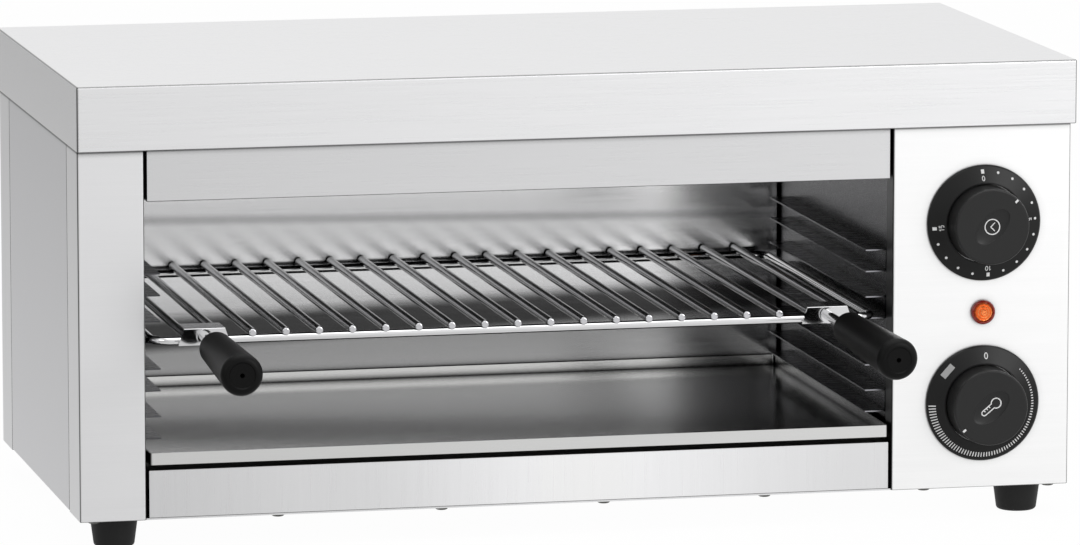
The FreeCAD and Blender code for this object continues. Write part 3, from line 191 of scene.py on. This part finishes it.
def brushed_stainless(name, colour, roughness, grain="x", depth_mm=0.02, contrast=0.04,
                      darkest=0.03, fold=0.12, kept=()):
    """304 stainless sheet, belt-ground along one axis: long hair lines that soften the gloss.

    In seams the colour falls to the share called darkest, a painted shade, and on folds to the
    share called fold, a painted reflection of the room's dark side. The pairs in kept give a
    direction and the share kept on faces that look there: painted light and shade.
    """
    made = bpy.data.materials.new(name)
    made.use_nodes = True
    tree = made.node_tree
    shader = tree.nodes["Principled BSDF"]
    shader.inputs["Metallic"].default_value = 1.0
    across = 1 / HAIR_WIDTH
    along = 1 / HAIR_LENGTH
    scale = (along, across, across) if grain == "x" else (across, across, along)
    place = add_node(tree, "ShaderNodeTexCoord")
    stretch = add_node(tree, "ShaderNodeMapping", {
        "Vector": place.outputs["Object"], "Scale": scale})
    hair = add_node(tree, "ShaderNodeTexNoise", {
        "Vector": stretch.outputs[0], "Scale": 1.0, "Detail": 3.0, "Roughness": 0.6})
    gloss = add_node(tree, "ShaderNodeMapRange", {
        "Value": hair.outputs[0], "From Min": NOISE_LOW, "From Max": NOISE_HIGH,
        "To Min": roughness - contrast, "To Max": roughness + contrast})
    tree.links.new(gloss.outputs[0], shader.inputs["Roughness"])
    dark = Vector(srgb(colour)) * (1 - contrast)
    tone = add_node(tree, "ShaderNodeMix", {"Factor": hair.outputs[0]}, data_type="RGBA")
    tone.inputs[6].default_value = dark
    tone.inputs[7].default_value = srgb(colour)
    tint = shade_crevices(tree, tone.outputs[2], darkest)
    tint = shade_folds(tree, tint, fold)
    for direction, share in kept:
        tint = shade_towards(tree, tint, direction, share)
    tree.links.new(tint, shader.inputs["Base Color"])
    if depth_mm:
        bump = add_node(tree, "ShaderNodeBump", {
            "Height": hair.outputs[0], "Strength": HAIR_STRENGTH, "Distance": depth_mm * MM})
        tree.links.new(bump.outputs[0], shader.inputs["Normal"])
    return made


def plain(name, colour, roughness, metallic=0.0, **sockets):
    """One even finish."""
    made = bpy.data.materials.new(name)
    made.use_nodes = True
    shader = made.node_tree.nodes["Principled BSDF"]
    shader.inputs["Base Color"].default_value = srgb(colour)
    shader.inputs["Roughness"].default_value = roughness
    shader.inputs["Metallic"].default_value = metallic
    for socket, setting in sockets.items():
        shader.inputs[socket.replace("_", " ")].default_value = setting
    return made


def moulded_plastic(name, colour, roughness, grain_mm, depth_mm, shine):
    """Moulded plastic with a fine spark-eroded grain, which breaks its gloss."""
    made = plain(name, colour, roughness, Specular_IOR_Level=shine)
    tree = made.node_tree
    place = add_node(tree, "ShaderNodeTexCoord")
    grain = add_node(tree, "ShaderNodeTexNoise", {
        "Vector": place.outputs["Object"], "Scale": 1 / (grain_mm * MM), "Detail": 2.0})
    bump = add_node(tree, "ShaderNodeBump", {
        "Height": grain.outputs[0], "Strength": GRAIN_STRENGTH, "Distance": depth_mm * MM})
    tree.links.new(bump.outputs[0], tree.nodes["Principled BSDF"].inputs["Normal"])
    return made


# The case is of one ground steel. Its sheets are toned as the photograph's light shows them.
# The cover's upward faces keep a little less of their colour: painted shade.
cover_steel = brushed_stainless("ground_stainless_cover", "#EEEEEF", 0.30, kept=[(UP, 0.93)])
# The panel's left-facing faces keep little of their colour: painted shade.
panel_steel = brushed_stainless("ground_stainless_panel", "#FAFAFA", 0.36, darkest=0.6,
                                kept=[(LEFT, 0.12)])
case_steel = brushed_stainless("ground_stainless_case", "#EFEFF0", 0.32)
bar_steel = brushed_stainless("ground_stainless_fascia", "#DCDCDD", 0.30)
rail_steel = brushed_stainless("ground_stainless_rail", "#F0F0F1", 0.30, grain="z",
                               contrast=0.035)
side_steel = brushed_stainless("ground_stainless_sides", "#E5E5E7", 0.34)
# Cold-rolled bright stainless of the chamber: nearly a mirror, with a soft haze.
bright_steel = brushed_stainless("bright_rolled_stainless", "#CFCFCD", 0.16)
# The chamber's right wall and the guides, drawn darker and rougher than the bright chamber
# steel, the wall darkest. The right guides' cut front edges catch the light of the room, a
# painted highlight in their colour.
dark_chamber_wall_steel = brushed_stainless("dark_chamber_stainless_wall", "#464649", 0.26)
dark_guide_steel = brushed_stainless("dark_chamber_stainless", "#5E5E61", 0.26)
right_guide_steel = brushed_stainless("dark_chamber_stainless_right", "#5E5E61", 0.26,
                                      kept=[(FRONT, 3.2)])
# The chamber's ceiling, drawn much darker than the other chamber steel.
dark_ceiling_steel = brushed_stainless("dark_ceiling_stainless", "#2A2A2C", 0.20)
# The tray's upward faces keep a little less of their colour and its left-facing faces far less:
# painted shade.
tray_steel = brushed_stainless("bright_rolled_tray", "#E2E2E1", 0.15, contrast=0.03,
                               kept=[(UP, 0.95), (LEFT, 0.3)])
wall_steel = brushed_stainless("bright_rolled_back_wall", "#F6F6F7", 0.17, contrast=0.03)

# The back wall mirrors the tray and the dark underside of the rack. The ground sheet blurs
# both too much to come out of the light alone, so they are drawn, as are the soft grey line
# of the elements above them and the light at the wall's right end.
WALL_TONES = [(40, 0.5), (78, 0.42), (85, 0.08), (96, 0.10), (106, 0.88), (205, 0.92)]
tint_by_place(wall_steel, WALL_TONES, across=-0.035)
ELEMENT_LINE_TONES = [(140, 1.0), (146, 1.0), (151, 0.66), (156, 1.0), (160, 1.0)]
tint_by_place(wall_steel, ELEMENT_LINE_TONES, across=0.02)
WALL_END_TONES = [(-255, 1.0), (40, 1.0), (176, 1.4)]
tint_by_place(wall_steel, WALL_END_TONES, across=1.0, upward=0.0)
# The rail mirrors one bright window in front of it.
RAIL_TONES = [(-255, 0.86), (-150, 0.95), (0, 1.18), (185, 0.92)]
tint_by_place(rail_steel, RAIL_TONES, across=1.0, upward=0.0)
# Shadow line on the case, at the height of the foot of the cover's skirt.
SKIRT_TONES = [(230, 1.0), (234.4, 1.0), (236.0, 0.05), (240, 0.05)]
for sheet in (case_steel, side_steel, bar_steel, panel_steel):
    tint_by_place(sheet, SKIRT_TONES)

chrome = plain("chrome_plated_bracket", "#E0E0E1", 0.08, metallic=1.0)
# The wires are drawn darker than the bracket chrome, with painted shade on their top flank and
# foot and a painted highlight on their front tips.
wire_chrome = brushed_stainless("chrome_plated_wire", "#8E8E90", 0.07, depth_mm=0.0,
                                contrast=0.0, fold=1.0,
                                kept=[(WIRE_TOP, 0.06), (WIRE_FOOT, 0.2), (FRONT, 2.4)])
plated = plain("zinc_plated_steel", "#62625F", 0.28, metallic=1.0)
element_sheath = plain("oxidised_element_sheath", "#3A3836", 0.5, metallic=0.8)
copper_tube = plain("drawn_copper", "#B87A5A", 0.3, metallic=1.0)
steatite = plain("glazed_steatite", "#E6E0D2", 0.35)
grip_plastic = moulded_plastic("moulded_phenolic_grip", "#060606", 0.42, grain_mm=0.6,
                               depth_mm=0.03, shine=0.12)
dial_plastic = moulded_plastic("moulded_abs_dial", "#0D0D0D", 0.36, grain_mm=0.5,
                               depth_mm=0.02, shine=0.25)
knob_plastic = moulded_plastic("moulded_abs_knob", "#191919", 0.38, grain_mm=0.5,
                               depth_mm=0.02, shine=0.30)
control_plastic = plain("moulded_black_nylon", "#1A1A1A", 0.5)
lead_silicone = plain("red_silicone_lead", "#8A2A20", 0.5)
foot_rubber = moulded_plastic("moulded_rubber_foot", "#0D0D0D", 0.55, grain_mm=0.8,
                              depth_mm=0.05, shine=0.30)
white_ink = plain("white_pad_print", "#D2D2D2", 0.55)
grey_ink = plain("grey_pad_print", "#9A9A9A", 0.55)
lamp_rim = plain("dark_red_polycarbonate", "#7A1C12", 0.15)
lamp_jewel = plain("amber_red_polycarbonate", "#E58A50", 0.2, metallic=0.7,
                   Emission_Color=srgb("#FF7A30"), Emission_Strength=0.10)

FINISHES = {
    cover_steel: ["top_cover"],
    panel_steel: ["control_panel"],
    case_steel: ["left_stile", "back_panel", "base_panel"],
    side_steel: ["left_side_panel", "right_side_panel"],
    bar_steel: ["fascia"],
    rail_steel: ["lower_front_rail"],
    bright_steel: ["chamber_floor", "chamber_left_wall", "element_hanger"],
    wall_steel: ["chamber_back_wall"],
    dark_ceiling_steel: ["heat_reflector"],
    dark_chamber_wall_steel: ["chamber_right_wall"],
    dark_guide_steel: [f"guide_left_{number}" for number in GUIDE_NUMBERS],
    right_guide_steel: [f"guide_right_{number}" for number in GUIDE_NUMBERS],
    tray_steel: ["drip_tray"],
    wire_chrome: ["rack_wires"],
    chrome: ["rack_frame", "grip_bracket_left", "grip_bracket_right", "grip_stud_left",
             "grip_stud_right"],
    plated: ["case_screws", "foot_screws", "foot_nuts", "control_nuts", "gland_nut",
             "element_terminals", "timer_shaft", "thermostat_shaft", "sensor_clip"],
    element_sheath: ["heating_element_front", "heating_element_rear"],
    copper_tube: ["thermostat_sensor"],
    steatite: ["element_bushes"],
    grip_plastic: ["grip_left", "grip_right"],
    knob_plastic: ["timer_knob", "thermostat_knob"],
    dial_plastic: ["timer_dial", "thermostat_dial"],
    control_plastic: ["timer_body", "thermostat_body", "terminal_block", "cable_gland",
                      "lamp_body"],
    lamp_rim: ["lamp_lens"],
    lead_silicone: ["internal_leads"],
    foot_rubber: ["foot_front_left", "foot_front_right", "foot_rear_left", "foot_rear_right"],
}


def dress_cad_nodes():
    """Every CAD piece gets its finish, smooth faces and sharp edges."""
    for finish, names in FINISHES.items():
        for name in names:
            mesh = nodes[name].data
            mesh.materials.clear()
            mesh.materials.append(finish)
            mesh.shade_smooth()
            mesh.set_sharp_from_angle(angle=SHARP_EDGE)


# Printed marks


class Print:
    """Thin raised strokes of ink, laid on a surface given by a function of (u, v, lift)."""

    LIFT = 0.06 * MM
    SINK = -0.04 * MM
    SLIMMEST_MITRE = 0.5

    def __init__(self, surface):
        self.surface = surface
        self.points = []
        self.faces = []

    def stroke(self, path, width, closed=False):
        """Line of even width through points (u, v) in millimetres."""
        path = [Vector(point) for point in path]
        count = len(path)
        first = len(self.points)
        for index, point in enumerate(path):
            before = path[index - 1] if closed or index else None
            after = path[(index + 1) % count] if closed or index < count - 1 else None
            ways = []
            if before is not None:
                ways.append((point - before).normalized())
            if after is not None:
                ways.append((after - point).normalized())
            along = sum(ways, Vector((0, 0))).normalized()
            across = Vector((-along.y, along.x))
            mitre = max(self.SLIMMEST_MITRE, across.dot(Vector((-ways[0].y, ways[0].x))))
            side = across * width / 2 / mitre
            for edge, lift in ((side, self.LIFT), (-side, self.LIFT),
                               (-side, self.SINK), (side, self.SINK)):
                spot = point + edge
                self.points.append(self.surface(spot.x * MM, spot.y * MM, lift))
        rings = count if closed else count - 1
        for index in range(rings):
            here = first + 4 * index
            there = first + 4 * ((index + 1) % count)
            for corner in range(4):
                following = (corner + 1) % 4
                self.faces.append((here + corner, here + following, there + following,
                                   there + corner))
        if not closed:
            last = first + 4 * (count - 1)
            self.faces.append((first + 3, first + 2, first + 1, first))
            self.faces.append((last, last + 1, last + 2, last + 3))

    def disc(self, centre, radius, sides=14):
        """Round dot."""
        first = len(self.points)
        for lift in (self.LIFT, self.SINK):
            for index in range(sides):
                turn = 2 * math.pi * index / sides
                u = centre[0] + radius * math.cos(turn)
                v = centre[1] + radius * math.sin(turn)
                self.points.append(self.surface(u * MM, v * MM, lift))
        self.faces.append(tuple(range(first, first + sides)))
        self.faces.append(tuple(range(first + 2 * sides - 1, first + sides - 1, -1)))
        for index in range(sides):
            following = (index + 1) % sides
            self.faces.append((first + following, first + index, first + sides + index,
                               first + sides + following))

    def piece(self, name, ink, body):
        """The marks laid so far, as one piece of the part."""
        mesh = bpy.data.meshes.new(name)
        mesh.from_pydata(self.points, [], self.faces)
        mesh.materials.append(ink)
        made = bpy.data.objects.new(name, mesh)
        bpy.context.scene.collection.objects.link(made)
        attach(made, body)
        return made


# Section of the dial ring and of the knob cap, as the model has them.
DIAL_RIM_RADIUS = 33.9 * MM
DIAL_RIM_HEIGHT = 2.1 * MM
DIAL_INNER_RADIUS = 24.5 * MM
DIAL_HEIGHT = 5.4 * MM
KNOB_HEIGHT = 20.5 * MM
DISH_DEPTH = 1.5 * MM
DISH_HALF_WIDTH = 7.2 * MM
DISH_HALF_LENGTH = 13.0 * MM
NOTCH_DEPTH = 0.5 * MM


def dial_surface(centre, angle, radius):
    """Surface for marks at an angle and a radius (mm) on a dial; v points outward."""
    out = Vector((math.sin(angle), 0, math.cos(angle)))
    right = Vector((math.cos(angle), 0, -math.sin(angle)))
    slope = (DIAL_HEIGHT - DIAL_RIM_HEIGHT) / (DIAL_RIM_RADIUS - DIAL_INNER_RADIUS)

    def surface(u, v, lift):
        flat = out * (radius * MM + v) + right * u
        height = DIAL_HEIGHT - (flat.length - DIAL_INNER_RADIUS) * slope
        return Vector((centre.x, CASE_FRONT_Y - height - lift, centre.z)) + flat

    return surface


def knob_surface(centre, angle, drop):
    """Surface on a knob's face, with v towards the pointer; drop gives the depth at (u, v)."""
    out = Vector((math.sin(angle), 0, math.cos(angle)))
    right = Vector((math.cos(angle), 0, -math.sin(angle)))

    def surface(u, v, lift):
        height = KNOB_HEIGHT - drop(u, v) + lift
        return Vector((centre.x, CASE_FRONT_Y - height, centre.z)) + out * v + right * u

    return surface


def dish_drop(u, v):
    """Depth of the oval dish in a knob's face."""
    inside = 1 - (u / DISH_HALF_WIDTH) ** 2 - (v / DISH_HALF_LENGTH) ** 2
    return DISH_DEPTH * math.sqrt(max(0.0, inside))


def arc(centre, radius, start, end, steps):
    """Points on an arc in degrees, counted clockwise from the top."""
    turns = [math.radians(start + (end - start) * step / steps) for step in range(steps + 1)]
    return [(centre[0] + radius * math.sin(t), centre[1] + radius * math.cos(t)) for t in turns]


# Digits as points in shares of their width and of half their height.
DIGIT_WIDTH = 0.27
DIGIT_PITCH = 0.72
FIVE_BOWL = [(-0.1 + 1.05 * x, -0.32 + 0.66 * y) for x, y in arc((0, 0), 1, -50, 215, 12)]
DIGITS = {
    "0": arc((0, 0), 1, 0, 337.5, 15),
    "1": [(-0.7, 0.5), (0.15, 1), (0.15, -1)],
    "5": [(0.85, 1), (-0.75, 1), (-0.85, 0)] + FIVE_BOWL,
}


def print_number(marks, text, height, width):
    """Number in upright digits, centred on the marks' place."""
    wide = height * DIGIT_WIDTH
    for place, digit in enumerate(text):
        shift = (place - (len(text) - 1) / 2) * height * DIGIT_PITCH
        path = [(shift + x * wide, y * height / 2) for x, y in DIGITS[digit]]
        marks.stroke(path, width, closed=digit == "0")


# Timer's scale: angles from the top, and the circles and sizes of its marks in millimetres.
TIMER_ZERO = math.radians(-3.1)
TIMER_STEP = math.radians(17.9)
TIMER_MINUTES = 15
BAR_MINUTES = (0, 10, 15)
MINUTES_A_NUMBER = 5
MARK_RADIUS = 31.0
BAR_LENGTH = 2.4
BAR_WIDTH = 1.9
DOT_RADIUS = 0.8
NUMBER_RADIUS = 27.0
NUMBER_HEIGHT = 2.7
NUMBER_LINE = 0.42
# Thermostat's scale, likewise, with the first and last tick in degrees.
TICKS = 72
FIRST_TICK = 48.4
LAST_TICK = 269.0
TICK_RADIUS = 29.5
SHORTEST_TICK = 0.9
TICK_GROWTH = 3.2
TICK_LINE = 0.62
NOUGHT_ANGLE = math.radians(2.4)
NOUGHT_RADIUS = 28.8
NOUGHT_HEIGHT = 3.4
NOUGHT_LINE = 0.55
BLOCK_ANGLE = math.radians(312.3)
BLOCK_RADIUS = 30.0
BLOCK_PATH = [(-4.5, 0), (-2, 0), (0, 0.05), (2, 0), (4.5, 0)]
BLOCK_WIDTH = 3.6
# Pointers: their angles at rest, and the bar that lies at this share of the notch's depth.
TIMER_POINTER = math.radians(44.5)
THERMOSTAT_POINTER = math.radians(231.0)
POINTER_PATH = [(0, 19.8), (0, 22.1)]
POINTER_WIDTH = 1.3
POINTER_SUNK = 0.4


def print_timer_scale():
    """Dot a minute, with a bar at nought, ten and fifteen, and numbers every five."""
    centre = middle("timer_dial")
    scale = Print(None)
    for minute in range(TIMER_MINUTES + 1):
        angle = TIMER_ZERO + TIMER_STEP * minute
        scale.surface = dial_surface(centre, angle, MARK_RADIUS)
        if minute in BAR_MINUTES:
            scale.stroke([(0, -BAR_LENGTH / 2), (0, BAR_LENGTH / 2)], BAR_WIDTH)
        else:
            scale.disc((0, 0), DOT_RADIUS)
        if minute % MINUTES_A_NUMBER == 0:
            scale.surface = dial_surface(centre, angle, NUMBER_RADIUS)
            print_number(scale, str(minute), NUMBER_HEIGHT, NUMBER_LINE)
    scale.piece("timer_scale", white_ink, "housing")


def print_thermostat_scale():
    """Ticks that lengthen with the heat, a nought at the top and a grey stop block."""
    centre = middle("thermostat_dial")
    scale = Print(None)
    for index in range(TICKS):
        share = index / (TICKS - 1)
        angle = math.radians(FIRST_TICK + (LAST_TICK - FIRST_TICK) * share)
        scale.surface = dial_surface(centre, angle, TICK_RADIUS)
        scale.stroke([(0, 0), (0, SHORTEST_TICK + TICK_GROWTH * share)], TICK_LINE)
    scale.surface = dial_surface(centre, NOUGHT_ANGLE, NOUGHT_RADIUS)
    print_number(scale, "0", NOUGHT_HEIGHT, NOUGHT_LINE)
    scale.piece("thermostat_scale", white_ink, "housing")
    block = Print(dial_surface(centre, BLOCK_ANGLE, BLOCK_RADIUS))
    block.stroke(BLOCK_PATH, BLOCK_WIDTH)
    block.piece("thermostat_stop_block", grey_ink, "housing")


def print_knob(name, pointer, body, draw_icon):
    """Pointer in the rim's notch and an icon in the dish."""
    centre = middle(f"{name}_dial")
    mark = Print(knob_surface(centre, pointer, lambda u, v: NOTCH_DEPTH * POINTER_SUNK))
    mark.stroke(POINTER_PATH, POINTER_WIDTH)
    mark.piece(f"{name}_pointer", white_ink, body)
    icon = Print(knob_surface(centre, pointer, dish_drop))
    draw_icon(icon)
    icon.piece(f"{name}_icon", white_ink, body)


def draw_clock(icon):
    """Ring with two hands."""
    radius, ring_line, hand_line = 4.5, 0.62, 0.55
    hands = [(-0.6, 2.9), (-0.6, -0.7), (2.9, -0.7)]
    icon.stroke(arc((0, 0), radius, 0, 350, 35), ring_line, closed=True)
    icon.stroke(hands, hand_line)


def draw_thermometer(icon):
    """Outline of a bulb with its stem, and three graduations beside the stem."""
    bulb, bulb_radius = -4.2, 3.0
    stem, tip = 1.5, 6.6
    outer_line, mark_line, mark_start = 0.65, 0.6, 0.1
    spread = math.degrees(math.asin(stem / bulb_radius))
    outline = arc((0, bulb), bulb_radius, spread, 360 - spread, 24)
    outline += arc((0, tip - stem), stem, 270, 450, 10)
    icon.stroke(outline, outer_line, closed=True)
    for place in (0.4, 2.3, 4.2):
        icon.stroke([(mark_start, place), (stem, place)], mark_line)


# Signal lamp

# Sections of the bezel and of the jewel: radius and height in millimetres.
BEZEL_SECTION = [(5.6, 0.2), (7.1, 0.2), (7.3, 0.6), (7.3, 1.6), (7.0, 2.3), (6.4, 2.7),
                 (5.9, 2.4), (5.6, 1.9), (5.6, 0.2)]
JEWEL_SECTION = [(0.001, 0.3), (5.55, 0.3), (5.55, 1.9), (5.0, 2.9), (4.3, 2.4), (3.4, 3.4),
                 (2.6, 2.9), (1.8, 3.9), (1.0, 3.4), (0.001, 4.1)]
BEZEL_SIDES = 48
JEWEL_SIDES = 12
SHARP_TURNING = math.radians(40)


def lathe(name, profile, centre, sides, material, smooth=True):
    """Turned piece that faces the front: the profile pairs a radius and a height in mm."""
    points = []
    faces = []
    count = len(profile)
    for index in range(sides):
        turn = 2 * math.pi * index / sides
        for radius, height in profile:
            points.append((centre.x + radius * MM * math.sin(turn), CASE_FRONT_Y - height * MM,
                           centre.z + radius * MM * math.cos(turn)))
    for index in range(sides):
        following = (index + 1) % sides
        for step in range(count - 1):
            faces.append((index * count + step, index * count + step + 1,
                          following * count + step + 1, following * count + step))
    mesh = bpy.data.meshes.new(name)
    mesh.from_pydata(points, [], faces)
    mesh.materials.append(material)
    if smooth:
        mesh.shade_smooth()
        mesh.set_sharp_from_angle(angle=SHARP_TURNING)
    made = bpy.data.objects.new(name, mesh)
    bpy.context.scene.collection.objects.link(made)
    return made


def make_lamp():
    """Dark bezel round a cut jewel."""
    centre = middle("lamp_lens")
    rim = lathe("lamp_bezel", BEZEL_SECTION, centre, BEZEL_SIDES, lamp_rim)
    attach(rim, "housing")
    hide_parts("lamp_lens")
    jewel = lathe("lamp_jewel", JEWEL_SECTION, centre, JEWEL_SIDES, lamp_jewel, smooth=False)
    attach(jewel, "housing")


# Studio

# Floor: its half width, the share of its white in the camera and in the metal, and the two
# places along X between which it fades for the metal, down to the light of its left end.
FLOOR_HALF = 30.0
FLOOR_WHITE = 0.97
DIM_END_X = -1.6
FULL_END_X = 0.75
DIM_END_LIGHT = 0.3
# Room in the metal: it fades between two X of the direction looked in, and between two Z.
ROOM_DIM_X, ROOM_FULL_X, ROOM_LEFT_LIGHT = -0.9, -0.1, 0.55
ROOM_DIM_Z, ROOM_FULL_Z, ROOM_LOW_LIGHT = -0.1, 0.6, 0.9
# Light of the room on matt faces.
MATT_LIGHT = 0.62
# Soft boxes: place, point they face, width, height, and power in watts.
SOFT_BOXES = {
    "overhead_box": ((0.2, -0.6, 3.4), (0, 0, 0.1), 3.6, 3.0, 60),
    "right_front_box": ((2.6, -3.6, 1.8), (0, 0, 0.15), 2.2, 2.2, 60),
    "left_front_box": ((-3.4, -2.4, 1.6), (0, 0, 0.15), 1.8, 2.0, 14),
}
# Camera as solved from the photograph: its place from the cover's front, and its turns.
CAMERA_X = -1.0177
CAMERA_DISTANCE = 4.3918
CAMERA_Z = 0.8386
CAMERA_DOWN = 0.150
CAMERA_RIGHT = 0.222
LENS_MM = 259.25
SENSOR_MM = 36.0
NEAREST = 0.1
FARTHEST = 100.0


def make_floor():
    """Pale floor that shows white to the camera and in the metal, and keeps a soft shadow."""
    half = FLOOR_HALF
    mesh = bpy.data.meshes.new("floor")
    corners = [(-half, -half, 0), (half, -half, 0), (half, half, 0), (-half, half, 0)]
    mesh.from_pydata(corners, [], [(0, 1, 2, 3)])
    paper = bpy.data.materials.new("white_paper_sweep")
    paper.use_nodes = True
    tree = paper.node_tree
    tree.nodes.clear()
    diffuse = add_node(tree, "ShaderNodeBsdfDiffuse", {"Color": srgb("#F2F2F2")})
    glow = add_node(tree, "ShaderNodeEmission", {"Color": srgb("#FFFFFF"), "Strength": 1.0})
    path = add_node(tree, "ShaderNodeLightPath")
    seen = add_node(tree, "ShaderNodeMath", {
        0: path.outputs["Is Camera Ray"], 1: path.outputs["Is Glossy Ray"]},
        operation="MAXIMUM")
    clear = add_node(tree, "ShaderNodeMath", {
        0: seen.outputs[0], 1: path.outputs["Is Transmission Ray"]}, operation="MAXIMUM")
    share = add_node(tree, "ShaderNodeMath", {0: clear.outputs[0], 1: FLOOR_WHITE},
                     operation="MULTIPLY")
    # In the metal, the floor fades towards the room's left end.
    spot = add_node(tree, "ShaderNodeTexCoord")
    where = add_node(tree, "ShaderNodeSeparateXYZ", {"Vector": spot.outputs["Object"]})
    fall = add_node(tree, "ShaderNodeMapRange", {
        "Value": where.outputs["X"], "From Min": DIM_END_X, "From Max": FULL_END_X,
        "To Min": DIM_END_LIGHT, "To Max": 1.0})
    bright = add_node(tree, "ShaderNodeMix", {
        "Factor": path.outputs["Is Glossy Ray"], "A": 1.0, "B": fall.outputs[0]})
    tree.links.new(bright.outputs[0], glow.inputs["Strength"])
    mix = add_node(tree, "ShaderNodeMixShader", {
        0: share.outputs[0], 1: diffuse.outputs[0], 2: glow.outputs[0]})
    add_node(tree, "ShaderNodeOutputMaterial", {"Surface": mix.outputs[0]})
    mesh.materials.append(paper)
    floor = bpy.data.objects.new("floor", mesh)
    bpy.context.scene.collection.objects.link(floor)


def make_world():
    """White room: even light on the object, white behind it, and greys in the reflections."""
    world = bpy.data.worlds.new("white_room")
    bpy.context.scene.world = world
    world.use_nodes = True
    tree = world.node_tree
    tree.nodes.clear()
    place = add_node(tree, "ShaderNodeTexCoord")
    parts = add_node(tree, "ShaderNodeSeparateXYZ", {"Vector": place.outputs["Generated"]})
    across = add_node(tree, "ShaderNodeMapRange", {
        "Value": parts.outputs["X"], "From Min": ROOM_DIM_X, "From Max": ROOM_FULL_X,
        "To Min": ROOM_LEFT_LIGHT, "To Max": 1.0})
    height = add_node(tree, "ShaderNodeMapRange", {
        "Value": parts.outputs["Z"], "From Min": ROOM_DIM_Z, "From Max": ROOM_FULL_Z,
        "To Min": ROOM_LOW_LIGHT, "To Max": 1.0})
    room = add_node(tree, "ShaderNodeMath", {0: across.outputs[0], 1: height.outputs[0]},
                    operation="MULTIPLY")
    path = add_node(tree, "ShaderNodeLightPath")
    lit = add_node(tree, "ShaderNodeMix", {
        "Factor": path.outputs["Is Glossy Ray"], "A": MATT_LIGHT, "B": room.outputs[0]})
    seen = add_node(tree, "ShaderNodeMath", {
        0: path.outputs["Is Camera Ray"], 1: path.outputs["Is Transmission Ray"]},
        operation="MAXIMUM")
    strength = add_node(tree, "ShaderNodeMix", {
        "Factor": seen.outputs[0], "A": lit.outputs[0], "B": 1.0})
    back = add_node(tree, "ShaderNodeBackground", {
        "Color": srgb("#FFFFFF"), "Strength": strength.outputs[0]})
    add_node(tree, "ShaderNodeOutputWorld", {"Surface": back.outputs[0]})


def make_soft_box(name, spot, aim, width, height, power):
    """Soft rectangular light that faces a point."""
    light = bpy.data.lights.new(name, "AREA")
    light.shape = "RECTANGLE"
    light.size = width
    light.size_y = height
    light.energy = power
    lamp = bpy.data.objects.new(name, light)
    lamp.location = spot
    lamp.rotation_euler = (Vector(aim) - Vector(spot)).to_track_quat("-Z", "Y").to_euler()
    bpy.context.scene.collection.objects.link(lamp)


def make_camera():
    """The photograph's long lens, from the left and a little above."""
    data = bpy.data.cameras.new("camera")
    data.sensor_width = SENSOR_MM
    data.lens = LENS_MM
    data.clip_start = NEAREST
    data.clip_end = FARTHEST
    camera = bpy.data.objects.new("camera", data)
    camera.location = (CAMERA_X, COVER_FRONT_Y - CAMERA_DISTANCE, CAMERA_Z)
    camera.rotation_euler = (math.pi / 2 - CAMERA_DOWN, 0.0, -CAMERA_RIGHT)
    bpy.context.scene.collection.objects.link(camera)
    bpy.context.scene.camera = camera


def make_studio():
    """Floor, room and soft boxes, seen in plain sRGB."""
    make_floor()
    make_world()
    for name, box in SOFT_BOXES.items():
        make_soft_box(name, *box)
    bpy.context.scene.view_settings.view_transform = "Standard"


dress_cad_nodes()
print_timer_scale()
print_thermostat_scale()
print_knob("timer", TIMER_POINTER, "timer_knob_set", draw_clock)
print_knob("thermostat", THERMOSTAT_POINTER, "thermostat_knob_set", draw_thermometer)
make_lamp()
make_studio()
make_camera()
